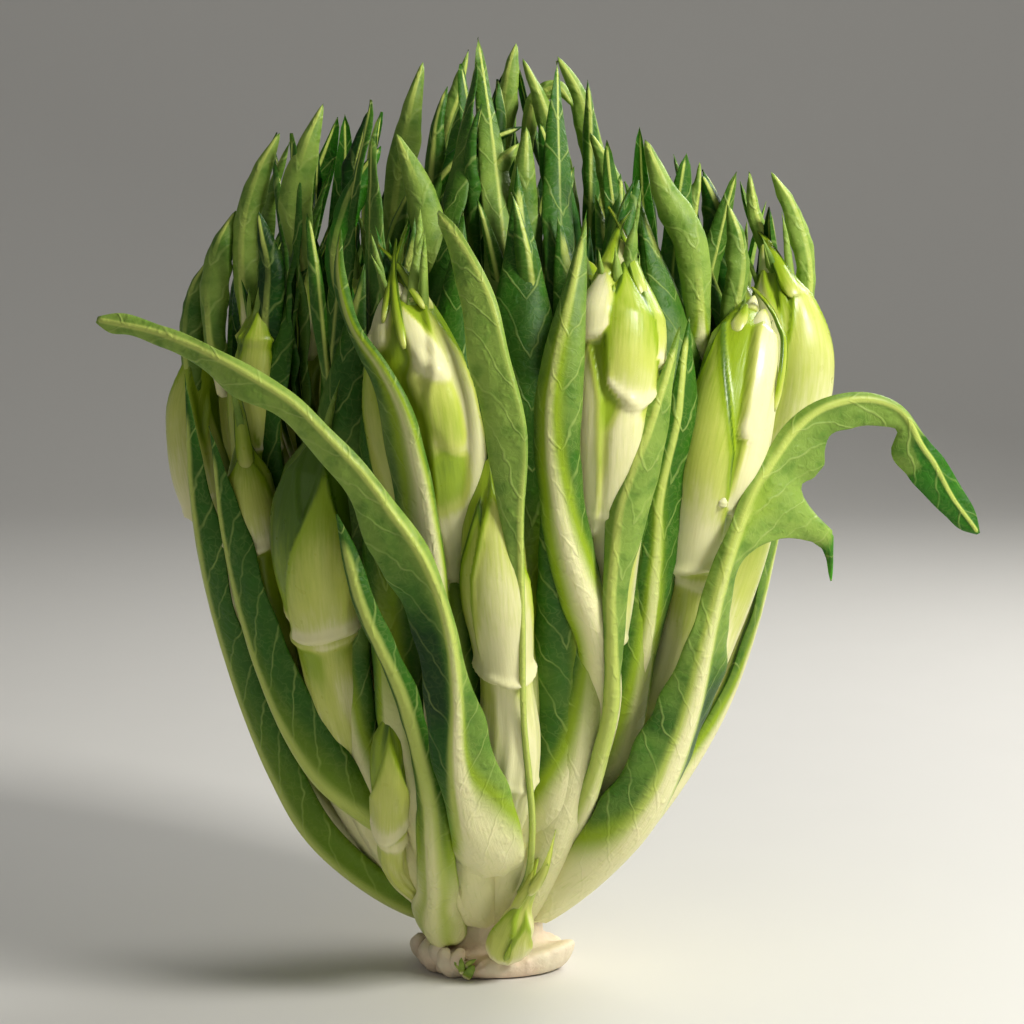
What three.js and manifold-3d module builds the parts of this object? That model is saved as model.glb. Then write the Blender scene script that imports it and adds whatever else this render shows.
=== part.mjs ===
// Puntarelle: one whole head of Catalogna chicory, standing on the face it was cut off at.
// Millimetres, +Z up. The origin is the middle of the cut face, and the best side looks to -Y.
// Every shoot and leaf is one closed solid grown along its own route, from a foot in the crown
// to a pointed tip. Routes are given in terms of the head, so they follow it if it is resized.
import * as THREE from "three";
import * as BufferGeometryUtils from "three/addons/utils/BufferGeometryUtils.js";
import Module from "manifold-3d";

// Driving dimensions.
const headHeight = 297; // cut face to the highest leaf tip
const headRadius = 98; // widest part of the head
const cutRadius = 24; // the cut face
const crownHeight = 76; // the stem inside the head that everything grows from
const gap = 0.35; // clearance round a foot in its socket
const leafThickness = 2.4;
const footSpan = 0.03; // share of a piece's length in which it rounds off at its foot
const tipSpan = 0.05; // and in which it runs out at its tip
const shootRings = 10;
const shootSides = 8;
const leafRings = 10;
const leafSides = 6;
const heartRings = 7;

// The head's radius as a share of headRadius, at shares of headHeight.
const headOutline = [
  [0, 0.25], [0.06, 0.29], [0.1, 0.38], [0.17, 0.58], [0.27, 0.73], [0.42, 0.89], [0.6, 0.99],
  [0.69, 1], [0.8, 0.93], [0.9, 0.75], [1, 0.45],
];

// The crown's radius in terms of cutRadius, at shares of crownHeight.
const crownOutline = [
  [0, 0.96], [0.06, 1.06], [0.13, 1.02], [0.2, 0.88], [0.4, 0.94], [0.58, 0.86], [0.74, 0.68],
  [0.87, 0.42], [0.96, 0.18],
];
const crownSides = 24;
const crownLobes = 5;
const crownLobeDepth = 0.05;

// A smooth value at `at`, through pairs of [place, value] in rising order.
function along(pairs, at) {
  const last = pairs.length - 1;
  if (at <= pairs[0][0]) return pairs[0][1];
  if (at >= pairs[last][0]) return pairs[last][1];
  const after = pairs.findIndex(([place]) => place > at);
  const slope = (i) => {
    const from = pairs[Math.max(i - 1, 0)];
    const to = pairs[Math.min(i + 1, last)];
    return (to[1] - from[1]) / (to[0] - from[0]);
  };
  const [startPlace, startValue] = pairs[after - 1];
  const [endPlace, endValue] = pairs[after];
  const span = endPlace - startPlace;
  const t = (at - startPlace) / span;
  const blend = t * t * (3 - 2 * t);
  const rise = t * (1 - t) * (1 - t) * span * slope(after - 1);
  const fall = t * t * (t - 1) * span * slope(after);
  return startValue + (endValue - startValue) * blend + rise + fall;
}

// A value spread evenly from 0 to 1 over a list, as pairs for along().
const spread = (values) => values.map((value, i) => [i / (values.length - 1), value]);

// A place in the head: degrees round from the front, height, and share of the head's radius.
function spot([around, up, share]) {
  const angle = THREE.MathUtils.degToRad(around);
  const radius = headRadius * along(headOutline, up / headHeight) * share;
  return new THREE.Vector3(radius * Math.sin(angle), -radius * Math.cos(angle), up);
}

// The way a piece's outer face looks: out from the head's axis, or by degrees round from the front.
function facing(point, faces, t) {
  if (!faces) return new THREE.Vector3(point.x, point.y, 0).normalize();
  const angle = THREE.MathUtils.degToRad(along(spread(faces), t));
  return new THREE.Vector3(Math.sin(angle), -Math.cos(angle), 0);
}

// One section across a piece: an oval whose two edges lean back by `cup` times its half-width.
function section(centre, tangent, outward, sides, halfWidth, halfDepth, cup) {
  const across = new THREE.Vector3().crossVectors(tangent, outward).normalize();
  const out = new THREE.Vector3().crossVectors(across, tangent);
  return Array.from({ length: sides }, (_, side) => {
    const angle = (2 * Math.PI * side) / sides;
    const sideways = halfWidth * Math.cos(angle);
    const lean = cup * halfWidth * Math.cos(angle) ** 2;
    return centre
      .clone()
      .addScaledVector(across, sideways)
      .addScaledVector(out, halfDepth * Math.sin(angle) - lean);
  });
}

// A closed body from its sections, with one point at the foot and one at the tip.
function closedBody(sections, foot, tip) {
  const sides = sections[0].length;
  const corner = (ring, side) => 1 + ring * sides + (side % sides);
  const tipIndex = 1 + sections.length * sides;
  const index = [];
  for (let side = 0; side < sides; side += 1) {
    index.push(0, corner(0, side), corner(0, side + 1));
    index.push(tipIndex, corner(sections.length - 1, side + 1), corner(sections.length - 1, side));
    for (let ring = 1; ring < sections.length; ring += 1) {
      index.push(corner(ring - 1, side), corner(ring, side), corner(ring, side + 1));
      index.push(corner(ring - 1, side), corner(ring, side + 1), corner(ring - 1, side + 1));
    }
  }
  const points = [foot, ...sections.flat(), tip];
  const geometry = new THREE.BufferGeometry().setFromPoints(points);
  geometry.setIndex(index);
  geometry.computeVertexNormals();
  return geometry;
}

// A shoot or a leaf, swollen all round by `swell`.
function grown(form, swell = 0) {
  const path = new THREE.CatmullRomCurve3(form.route.map(spot), false, "centripetal");
  const widths = spread(form.halfWidths);
  const depths = spread(form.halfDepths);
  const sections = Array.from({ length: form.rings }, (_, ring) => {
    const t = footSpan + ((1 - footSpan - tipSpan) * ring) / (form.rings - 1);
    const centre = path.getPointAt(t);
    const tangent = path.getTangentAt(t);
    const halfWidth = along(widths, t) + swell;
    const halfDepth = along(depths, t) + swell;
    const outward = facing(centre, form.faces, t);
    return section(centre, tangent, outward, form.sides, halfWidth, halfDepth, form.cup ?? 0);
  });
  const foot = path.getPointAt(0).addScaledVector(path.getTangentAt(0), -3 * swell);
  const tip = path.getPointAt(1).addScaledVector(path.getTangentAt(1), 3 * swell);
  return closedBody(sections, foot, tip);
}

// A hollow shoot: a slim stem that swells to a bulb and closes in a blunt bud.
function shoot(route, stem, bulb, bud = bulb * 0.55) {
  const halfWidths = [stem * 0.75, stem, stem * 1.15, bulb * 0.78, bulb, bud];
  const halfDepths = halfWidths.map((width) => width * 0.86);
  return { route, halfWidths, halfDepths, rings: shootRings, sides: shootSides };
}

// A leaf: half-widths from foot to tip, and the half-depth of its fleshy stalk at the foot.
function leaf(route, halfWidths, stalk, more = {}) {
  const blade = leafThickness / 2;
  const halfDepths = [stalk, stalk * 0.9, (stalk + blade) * 0.5, blade, blade, blade * 0.8];
  return { route, halfWidths, halfDepths, rings: leafRings, sides: leafSides, cup: 0.15, ...more };
}

// A number between -1 and 1 that looks irregular from one piece to the next.
const uneven = (piece, turn) => Math.sin(piece * 12.99 + turn * 7.31);

// The cut stem: turned, slightly lobed, flat at the cut, and a dome inside the head.
function crown(feet) {
  const profile = [new THREE.Vector2(0, 0)];
  crownOutline.forEach(([up, radius]) => {
    profile.push(new THREE.Vector2(radius * cutRadius, up * crownHeight));
  });
  profile.push(new THREE.Vector2(0, crownHeight));
  const turned = new THREE.LatheGeometry(profile, crownSides);
  turned.rotateX(Math.PI / 2);
  const places = turned.attributes.position;
  for (let i = 0; i < places.count; i += 1) {
    const angle = Math.atan2(places.getY(i), places.getX(i));
    const swell = 1 + crownLobeDepth * Math.cos(crownLobes * angle);
    places.setXY(i, places.getX(i) * swell, places.getY(i) * swell);
  }
  return cutBy(turned, feet);
}

// The solid of a geometry, for joining and cutting.
const wasm = await Module();
wasm.setup();
function toSolid(geometry) {
  const bare = geometry.clone();
  bare.deleteAttribute("normal");
  bare.deleteAttribute("uv");
  const merged = BufferGeometryUtils.mergeVertices(bare, 1e-4);
  const vertProperties = new Float32Array(merged.attributes.position.array);
  const triVerts = new Uint32Array(merged.index.array);
  return new wasm.Manifold(new wasm.Mesh({ numProp: 3, vertProperties, triVerts }));
}

// A geometry less every form that stands in it.
function cutBy(geometry, forms) {
  const cut = forms.reduce(
    (rest, form) => rest.subtract(toSolid(grown(form, gap))),
    toSolid(geometry),
  );
  const mesh = cut.getMesh();
  const result = new THREE.BufferGeometry();
  result.setAttribute("position", new THREE.BufferAttribute(new Float32Array(mesh.vertProperties), 3));
  result.setIndex(Array.from(mesh.triVerts));
  result.computeVertexNormals();
  return result;
}

// Shoots that show from the front, left to right.
const frontShoots = {
  shoot_far_left: shoot(
    [[-88, 30, 0.56], [-86, 66, 0.8], [-85, 118, 0.93], [-86, 153, 0.96], [-88, 178, 0.97], [-88, 212, 0.9]],
    5.5, 8.5),
  shoot_left_tall: shoot(
    [[-74, 46, 0.35], [-72, 80, 0.68], [-70, 130, 0.76], [-68, 170, 0.8], [-68, 196, 0.8], [-69, 220, 0.78]],
    5, 7.5),
  shoot_left: shoot(
    [[-63, 30, 0.56], [-66, 70, 0.84], [-64, 105, 0.88], [-61, 131, 0.9], [-60, 152, 0.91], [-60, 178, 0.9]],
    5.5, 7.5),
  shoot_left_low: shoot(
    [[-50, 44, 0.37], [-53, 68, 0.72], [-47, 95, 0.83], [-43, 122, 0.86], [-41, 150, 0.87], [-38, 181, 0.84]],
    7.5, 12),
  shoot_base_left: shoot(
    [[-57, 17, 0.68], [-46, 38, 0.9], [-35, 52, 0.93], [-30, 68, 0.93], [-28, 80, 0.92], [-26, 94, 0.9]],
    4.6, 6),
  shoot_front_left: shoot(
    [[-2, 50, 0.3], [-3, 84, 0.62], [-8, 125, 0.73], [-12, 160, 0.82], [-14, 191, 0.86], [-20, 230, 0.84]],
    6.5, 15, 10),
  shoot_front_middle: shoot(
    [[-8, 42, 0.37], [3, 60, 0.81], [5, 90, 0.88], [3, 115, 0.9], [1, 142, 0.92], [0, 174, 0.89]],
    7.5, 9),
  shoot_front_low: shoot(
    [[20, 40, 0.42], [18, 56, 0.56], [17, 72, 0.61], [16, 88, 0.66], [15, 105, 0.7], [13, 122, 0.74], [12, 140, 0.74]],
    4.4, 7),
  shoot_front_right: shoot(
    [[33, 48, 0.32], [33, 70, 0.64], [29, 116, 0.8], [27, 150, 0.84], [25, 190, 0.88], [30, 238, 0.84]],
    6.5, 13, 8),
  shoot_right: shoot(
    [[60, 48, 0.33], [60, 66, 0.7], [56, 110, 0.85], [53, 145, 0.88], [53, 180, 0.92], [67, 218, 0.9]],
    8, 12.5, 8),
  shoot_far_right: shoot(
    [[84, 30, 0.56], [84, 75, 0.78], [85, 120, 0.86], [84, 160, 0.9], [81, 196, 0.96], [84, 232, 0.94]],
    8, 13.5, 8),
};

// Leaves that show from the front, with the broad ones that arch away first.
const frontLeaves = {
  leaf_big_left: leaf(
    [[-3, 31, 0.54], [-1, 50, 1.06], [-3, 84, 1.1], [-8, 125, 1.12], [-13, 155, 1.15],
      [-21, 181, 1.18], [-34, 197, 1.25], [-44, 206, 1.32], [-55, 215, 1.44]],
    [6, 11, 13.5, 13, 11, 8.5, 6, 3], 4, { faces: [-1, -5, -8, -8], rings: 14, cup: 0.05 }),
  leaf_big_right: leaf(
    [[38, 19, 0.7], [41, 36, 1.0], [42, 58, 1.06], [44, 84, 1.08], [46, 120, 1.08], [53, 150, 1.11],
      [59, 165, 1.16], [63, 173, 1.22], [67, 177, 1.32], [69.5, 176, 1.4], [72, 163, 1.51],
      [74.5, 146, 1.69]],
    [8, 13, 15, 12.5, 8, 7, 14, 9, 4], 5, { faces: [40, 42, 40, 20, 10, 10], rings: 16, cup: 0.05 }),
  leaf_middle: leaf(
    [[36, 26, 0.56], [34, 42, 0.8], [30, 60, 0.9], [28, 100, 1.0], [25, 130, 1.01], [27, 160, 1.01],
      [31, 190, 1.01], [35, 212, 1.0]],
    [4, 5, 3.5, 4, 6, 5], 2.5),
  leaf_curled: leaf(
    [[20, 31, 0.54], [20, 46, 0.75], [20, 66, 0.88], [21, 88, 0.9], [18, 113, 0.9], [13, 138, 0.92],
      [10, 158, 0.92]],
    [4, 6, 7, 6, 4], 3.2),
  leaf_clasp_right: leaf(
    [[38, 38, 0.44], [34, 52, 0.74], [32, 78, 0.87], [29, 104, 0.93], [22, 126, 0.97], [15, 152, 1.0],
      [12, 190, 1.01], [15, 220, 0.99], [21, 244, 0.9]],
    [3, 3.5, 5, 5.5, 4.5, 5, 4], 1.8),
  leaf_beside: leaf(
    [[16, 20, 0.66], [17, 32, 0.92], [17, 44, 0.97], [15, 62, 0.98], [12, 90, 0.99], [8, 120, 1.01], [6, 145, 1.02],
      [3, 188, 1.03], [-3, 221, 1.01], [-11, 245, 0.93]],
    [2.5, 3, 3, 4.5, 6, 5.5, 4], 1.5),
  leaf_clasp_left: leaf(
    [[-29, 38, 0.43], [-16, 80, 0.9], [-12, 130, 0.98], [-13, 165, 1.03], [-18, 194, 1.05],
      [-25, 220, 1.02], [-31, 240, 0.94]],
    [3, 3.5, 4.5, 4.5, 4, 4.5, 4], 1.8),
  leaf_between: leaf(
    [[51, 31, 0.52], [48, 48, 0.74], [43, 66, 0.84], [41, 99, 0.87], [39, 129, 0.9], [38, 160, 0.91],
      [40, 186, 0.92], [43, 214, 0.9]],
    [4, 6.5, 5, 5, 5.5, 5], 3.2),
  leaf_side_outer: leaf(
    [[-80, 17, 0.7], [-79, 27, 1.08], [-79, 46, 1.1], [-80, 73, 1.06], [-75, 105, 1.05],
      [-68, 135, 1.06], [-66, 165, 1.05], [-67, 195, 1.03]],
    [5, 6.5, 6, 5, 5, 4], 4),
  leaf_side_middle: leaf(
    [[-42, 32, 0.52], [-44, 50, 0.76], [-50, 68, 0.98], [-56, 90, 1.02], [-58, 120, 1.02],
      [-58, 150, 1.02], [-60, 180, 1.01]],
    [4, 5.5, 5.5, 5, 5, 4], 3.2),
  leaf_side_inner: leaf(
    [[-28, 14, 0.7], [-25, 24, 0.98], [-22, 44, 1.02], [-18, 72, 1.04], [-18, 101, 1.05],
      [-22, 129, 1.05], [-26, 158, 1.04]],
    [6, 7, 6, 6, 6, 5], 4.5),
};

// Shoots of the back of the head, evenly spaced with small differences. Their feet stand high and
// low by turns, so that they have room on the crown.
const backShootCount = 6;
const backShootStart = 112;
const backShootStep = 27.2;
const backShootTop = 205;
const backShoots = Object.fromEntries(
  Array.from({ length: backShootCount }, (_, i) => {
    const around = backShootStart + backShootStep * i;
    const top = backShootTop + 22 * uneven(i, 1);
    const lean = 3 * uneven(i, 2);
    const foot = i % 2 === 0 ? [around, 47, 0.34] : [around, 30, 0.54];
    const route = [
      foot,
      [around + lean, top * 0.38, 0.78],
      [around + lean, top * 0.62, 0.86],
      [around, top * 0.85, 0.88],
      [around - lean, top, 0.86],
    ];
    return [`shoot_back_${i + 1}`, shoot(route, 8, 15 + 1.5 * uneven(i, 3))];
  }),
);

// Shoots inside the ring of outer ones, with the tallest in the middle.
const innerShootCount = 4;
const innerShootStart = -50;
const innerShootTop = 240;
const innerShoots = Object.fromEntries(
  Array.from({ length: innerShootCount }, (_, i) => {
    const around = innerShootStart + (360 / innerShootCount) * i;
    const top = innerShootTop + 10 * uneven(i, 4);
    const route = [
      [around, 64, 0.15],
      [around, 100, 0.42],
      [around, 160, 0.5],
      [around, 205, 0.5],
      [around, top, 0.48],
    ];
    return [`shoot_inner_${i + 1}`, shoot(route, 5, 12.5)];
  }),
);
innerShoots.shoot_heart = shoot([[0, 74, 0], [0, 130, 0], [0, 200, 0.02], [0, 252, 0.05]], 5, 11);

// Leaves of the back, between its shoots and over them.
const backLeafCount = 7;
const backLeafStart = 99;
const backLeafStep = 26.7;
const backLeafTop = 255;
const backLeaves = Object.fromEntries(
  Array.from({ length: backLeafCount }, (_, i) => {
    const around = backLeafStart + backLeafStep * i;
    const lean = 4 * uneven(i, 5);
    const top = backLeafTop + 20 * uneven(i, 6);
    const route = [
      [around, 18, 0.68],
      [around, 34, 0.98],
      [around + lean, 80, 1.02],
      [around, 140, 1.03],
      [around - lean, 200, 1.03],
      [around - lean, top, 0.98],
    ];
    return [`leaf_back_${i + 1}`, leaf(route, [4.5, 6.5, 5.5, 6.5, 8, 5], 4)];
  }),
);

// Tall leaves that rise between the outer and the inner shoots: where each tip ends.
const topTips = [
  [-66, 268, 0.92], [-48, 278, 0.86], [-32, 267, 0.8], [-16, 290, 0.55], [4, 297, 0.45], [22, 290, 0.6],
  [40, 266, 0.82], [58, 262, 0.88], [78, 256, 0.96], [128, 270, 0.8], [180, 280, 0.7], [232, 274, 0.8],
];
const topLeaves = Object.fromEntries(
  topTips.map(([around, up, share], i) => {
    const route = [
      [around, 57, 0.23],
      [around, 92, 0.56],
      [around, 150, 0.66],
      [around, 200, 0.67],
      [around, up, share],
    ];
    return [`leaf_top_${i + 1}`, leaf(route, [2.2, 3.2, 5, 7, 7, 4.5], 1.6)];
  }),
);

// Leaves round the heart of the head.
const heartLeafCount = 4;
const heartLeafStart = -5;
const heartLeafTop = 282;
const heartLeaves = Object.fromEntries(
  Array.from({ length: heartLeafCount }, (_, i) => {
    const around = heartLeafStart + (360 / heartLeafCount) * i;
    const top = heartLeafTop + 8 * uneven(i, 8);
    const route = [
      [around, 71, 0.08],
      [around, 110, 0.22],
      [around, 180, 0.22],
      [around, 235, 0.24],
      [around, top, 0.16],
    ];
    return [`leaf_heart_${i + 1}`, leaf(route, [2.5, 4, 7, 7, 4], 1.6, { rings: heartRings })];
  }),
);

// The little sprout at the foot of the crown.
const sprout = {
  route: [[11, 8, 0.9], [12, 17, 1.16], [15, 30, 1.1], [18, 46, 1.08]],
  halfWidths: [4.5, 6, 4.5, 2.4, 1.5],
  halfDepths: [3, 4.2, 3.2, 2, 1.2],
  rings: heartRings,
  sides: leafSides,
};

const shoots = { ...frontShoots, ...backShoots, ...innerShoots };
const leaves = { ...frontLeaves, ...backLeaves, ...topLeaves, ...heartLeaves };

const shootFinish = { color: 0xdfe3b4, roughness: 0.34, metalness: 0 };
const leafFinish = { color: 0x4f7a2c, roughness: 0.5, metalness: 0 };
const crownFinish = { color: 0xdcc7a6, roughness: 0.55, metalness: 0 };

// A piece of the head, with its own material.
function piece(name, geometry, finish) {
  const mesh = new THREE.Mesh(geometry, new THREE.MeshStandardMaterial(finish));
  mesh.name = name;
  return mesh;
}

const head = new THREE.Group();
head.name = "puntarelle";
const forms = [...Object.values(shoots), ...Object.values(leaves), sprout];
head.add(piece("crown", crown(forms), crownFinish));
head.add(piece("basal_sprout", grown(sprout), shootFinish));
Object.entries(shoots).forEach(([name, form]) => head.add(piece(name, grown(form), shootFinish)));
Object.entries(leaves).forEach(([name, form]) => head.add(piece(name, grown(form), leafFinish)));

export default head;
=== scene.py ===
import bpy
import numpy as np
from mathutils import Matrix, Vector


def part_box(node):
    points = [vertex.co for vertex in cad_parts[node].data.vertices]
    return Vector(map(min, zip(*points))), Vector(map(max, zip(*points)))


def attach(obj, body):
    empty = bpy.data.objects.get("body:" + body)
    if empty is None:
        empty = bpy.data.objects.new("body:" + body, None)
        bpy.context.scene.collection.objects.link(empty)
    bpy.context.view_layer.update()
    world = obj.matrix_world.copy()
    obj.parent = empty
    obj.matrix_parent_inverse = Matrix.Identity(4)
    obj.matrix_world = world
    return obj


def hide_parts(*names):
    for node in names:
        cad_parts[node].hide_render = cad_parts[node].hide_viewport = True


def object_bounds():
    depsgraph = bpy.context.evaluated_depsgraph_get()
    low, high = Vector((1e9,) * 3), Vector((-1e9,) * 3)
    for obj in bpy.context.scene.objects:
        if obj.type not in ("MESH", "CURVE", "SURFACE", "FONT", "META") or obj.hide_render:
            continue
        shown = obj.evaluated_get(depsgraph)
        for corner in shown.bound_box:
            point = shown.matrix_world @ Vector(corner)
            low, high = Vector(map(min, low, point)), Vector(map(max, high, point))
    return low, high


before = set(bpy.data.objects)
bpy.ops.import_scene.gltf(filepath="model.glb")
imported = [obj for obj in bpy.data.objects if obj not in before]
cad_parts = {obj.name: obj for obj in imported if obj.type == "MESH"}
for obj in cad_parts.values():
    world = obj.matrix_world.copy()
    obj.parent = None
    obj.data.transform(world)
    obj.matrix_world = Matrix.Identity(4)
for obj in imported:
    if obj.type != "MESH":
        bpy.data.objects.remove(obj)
cadLow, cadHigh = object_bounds()
headTop = cadHigh[2]
mm = 0.001
print("frame loaded:", len(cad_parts), "nodes")

# camera and light: aim, places and reach in metres, lens and sensor in millimetres, power in watts
view = {
    "aim": (0.0067, 0.0, 0.1476), "distance": 1.0, "elevation": 7,
    "lens": 109.9, "sensor": 36, "reach": 20,
    "key": {"at": (0.82, -0.58, 0.85), "size": 0.32, "power": 16.5, "colour": (1.0, 0.985, 0.95)},
    "fill": {"at": (-1.1, -0.9, 0.5), "size": 1.2, "power": 0.8, "colour": (0.97, 0.99, 1.0)},
    "rim": {"at": (0.55, 0.65, 0.75), "size": 0.5, "power": 7, "colour": (1.0, 0.995, 0.98)},
    "sky": ((0.98, 0.98, 1.0), 0.16),
}


def turnTo(thing, target):
    # looks along its own -Z from where it stands to the target
    way = np.array(target) - np.array(thing.location)
    away = np.hypot(way[0], way[1])
    thing.rotation_euler = (np.arctan2(away, -way[2]), 0, np.arctan2(way[1], way[0]) - np.pi / 2)


def setView():
    # the camera stands at aim + distance * (0, -cos elevation, sin elevation); it and each lamp turn to
    # the aim
    data = bpy.data.cameras.new("camera")
    data.lens, data.sensor_width, data.clip_end = view["lens"], view["sensor"], view["reach"]
    camera = bpy.data.objects.new("camera", data)
    bpy.context.scene.collection.objects.link(camera)
    rise = np.radians(view["elevation"])
    back = np.array([0, -np.cos(rise), np.sin(rise)]) * view["distance"]
    camera.location = np.array(view["aim"]) + back
    turnTo(camera, view["aim"])
    bpy.context.scene.camera = camera
    for name in ("key", "fill", "rim"):
        light = view[name]
        lamp = bpy.data.lights.new(name, "AREA")
        lamp.size, lamp.energy, lamp.color = light["size"], light["power"], light["colour"]
        lamp = bpy.data.objects.new(name, lamp)
        bpy.context.scene.collection.objects.link(lamp)
        lamp.location = light["at"]
        turnTo(lamp, view["aim"])
    world = bpy.data.worlds.new("studio")
    world.use_nodes = True
    shade = world.node_tree.nodes["Background"]
    shade.inputs["Color"].default_value = (*view["sky"][0], 1)
    shade.inputs["Strength"].default_value = view["sky"][1]
    bpy.context.scene.world = world


setView()
# this transform keeps the greens as clear as they are to the eye
bpy.context.scene.view_settings.view_transform = "Standard"
print("camera and lights set")


# small number helpers, all on whole arrays

def blend(low, high, x):  # 0 below low, 1 above high, 3t^2 - 2t^3 between
    t = np.clip((x - low) / (high - low), 0, 1)
    return t * t * (3 - 2 * t)


def mixed(a, b, t):  # a where t is 0, b where t is 1
    return a + (b - a) * t


def bell(x):  # exp(-x^2)
    return np.exp(-x * x)


def waver(x, seed, turns=1.0):  # three sines of unlike length and start, between about -1 and 1
    starts = np.random.default_rng(int(seed)).uniform(0, 2 * np.pi, 3)
    total = sum(np.sin(2 * np.pi * turns * k * x + a) / k for k, a in zip((1, 1.7, 2.9), starts))
    return total / 1.9


def unit(v):  # rows of length 1
    return v / np.maximum(np.linalg.norm(v, axis=-1, keepdims=True), 1e-12)


def smoothAt(places, values, at):
    # a smooth curve through values at rising places: between two of them the cubic that meets both with the
    # mean slope there
    places, values = np.asarray(places, float), np.asarray(values, float)
    slopes = np.gradient(values, places, axis=0)
    at = np.clip(at, places[0], places[-1])
    i = np.clip(np.searchsorted(places, at, side="right") - 1, 0, len(places) - 2)
    span = places[i + 1] - places[i]
    t = (at - places[i]) / span
    if values.ndim > 1:
        span, t = span[..., None], t[..., None]
    curve = mixed(values[i], values[i + 1], t * t * (3 - 2 * t))
    return curve + span * t * (1 - t) * (slopes[i] * (1 - t) - slopes[i + 1] * t)


def evenly(values, at):  # the same for values spread evenly from 0 to 1
    return smoothAt(np.linspace(0, 1, len(values)), values, at)


# spines: the line that a shoot or leaf grows along, with its sideways and outward ways

def lengths(points):  # distance along a line of points
    return np.concatenate([[0], np.cumsum(np.linalg.norm(np.diff(points, axis=0), axis=1))])


def finishSpine(spine):
    # tangent is the slope of the middle line, out is made square to it, and across is tangent x out
    tangent = unit(np.gradient(spine["centre"], axis=0))
    out = spine["out"]
    out = unit(out - tangent * np.sum(out * tangent, axis=1, keepdims=True))
    spine.update(tangent=tangent, out=out, across=np.cross(tangent, out), run=lengths(spine["centre"]))
    return spine


endShare = 0.7  # half-width of a spine's end over the one beside it


def nodeSpine(node, steps, round=False):
    # a grown solid is rings of corners between two end points. The corner farthest from the mean is one
    # end; the hops from it number the rings, and a ring's mean is its middle. A flat ring's longest chord
    # gives its sideways way; a round one's outward way is away from the head's axis. Half-width and
    # half-depth are the farthest that its corners stand off each way
    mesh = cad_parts[node].data
    spots = np.empty(len(mesh.vertices) * 3)
    mesh.vertices.foreach_get("co", spots)
    corners = np.empty(len(mesh.loops), np.int32)
    mesh.loops.foreach_get("vertex_index", corners)
    spots, where = np.unique(np.round(spots.reshape(-1, 3), 6), axis=0, return_inverse=True)
    faces = where.ravel()[corners].reshape(-1, 3)
    near = np.zeros((len(spots), len(spots)), bool)
    near[faces, np.roll(faces, 1, axis=1)] = True
    near |= near.T

    def hopsFrom(start):
        hops = np.full(len(spots), -1)
        edge = np.zeros(len(spots), bool)
        edge[start] = True
        hop = 0
        while edge.any():
            hops[edge] = hop
            hop += 1
            edge = near[edge].any(axis=0) & (hops < 0)
        return hops

    oneEnd = np.linalg.norm(spots - spots.mean(axis=0), axis=1).argmax()
    otherEnd = hopsFrom(oneEnd).argmax()
    foot = oneEnd if spots[oneEnd, 2] < spots[otherEnd, 2] else otherEnd
    hops = hopsFrom(foot)
    rings = [spots[hops == hop] for hop in range(hops.max() + 1)]
    middles = np.array([ring.mean(axis=0) for ring in rings])
    places = lengths(middles)
    tangent = unit(np.gradient(middles, places, axis=0))
    radial = middles * [1, 1, 0] + [0, -1e-4, 0]
    if round:
        sideways = unit(np.cross(tangent, radial))
    else:
        chords = []
        for ring in rings[1:-1]:
            gaps = np.linalg.norm(ring[:, None] - ring[None], axis=2)
            a, b = np.unravel_index(gaps.argmax(), gaps.shape)
            chords.append(ring[b] - ring[a])
        sideways = unit(np.array([chords[0], *chords, chords[-1]]))
        first = np.sign(sideways[1] @ np.cross(tangent[1], radial[1]))
        turns = np.where(np.sum(sideways[1:] * sideways[:-1], axis=1) < 0, -1, 1)
        sideways = sideways * (first * np.concatenate([[1], np.cumprod(turns)]))[:, None]
    out = unit(np.cross(sideways, tangent))
    wide = np.array([np.abs((ring - m) @ s).max() for ring, m, s in zip(rings, middles, sideways)])
    deep = np.array([np.abs((ring - m) @ o).max() for ring, m, o in zip(rings, middles, out)])
    for half in (wide, deep):
        half[0], half[-1] = half[1] * endShare, half[-2] * endShare
    at = np.linspace(0, 1, steps)
    places = places / places[-1]
    return finishSpine({
        "at": at, "centre": smoothAt(places, middles, at), "out": smoothAt(places, out, at),
        "wide": smoothAt(places, wide, at), "deep": smoothAt(places, deep, at),
    })


def pathSpine(points, out, wide, steps):
    # a smooth line through points, spaced by their distances; out may be one way or one for each point,
    # and wide is spread evenly
    places = lengths(points)
    places = places / places[-1]
    at = np.linspace(0, 1, steps)
    out = np.broadcast_to(out, np.shape(points)).astype(float)
    width = evenly(wide, at)
    return finishSpine({
        "at": at, "centre": smoothAt(places, points, at), "out": smoothAt(places, out, at), "wide": width,
        "deep": width,
    })


def besideSpine(spine, place, degrees, lift=0.0, widen=1.05):
    # places on a shoot's side, and the way straight out of it: the oval's point at that many degrees to
    # the right of the side that the head's front shows, and lift farther out
    place, degrees = np.broadcast_arrays(np.atleast_1d(place), np.atleast_1d(degrees))
    keys = ("centre", "across", "out", "wide", "deep")
    row = {key: smoothAt(spine["at"], spine[key], place) for key in keys}
    front = np.arctan2(-row["across"][:, 1], -row["out"][:, 1])
    angle = (np.radians(degrees) + front)[:, None]
    wide, deep = row["wide"][:, None] * widen, row["deep"][:, None] * widen
    lift = np.broadcast_to(np.asarray(lift, float), place.shape)[:, None]
    away = unit(row["across"] * np.sin(angle) * deep + row["out"] * np.cos(angle) * wide)
    spot = row["centre"] + row["across"] * np.sin(angle) * wide + row["out"] * np.cos(angle) * deep
    return spot + away * lift, away


# pieces: closed grids of points, and the mesh made of them

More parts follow.
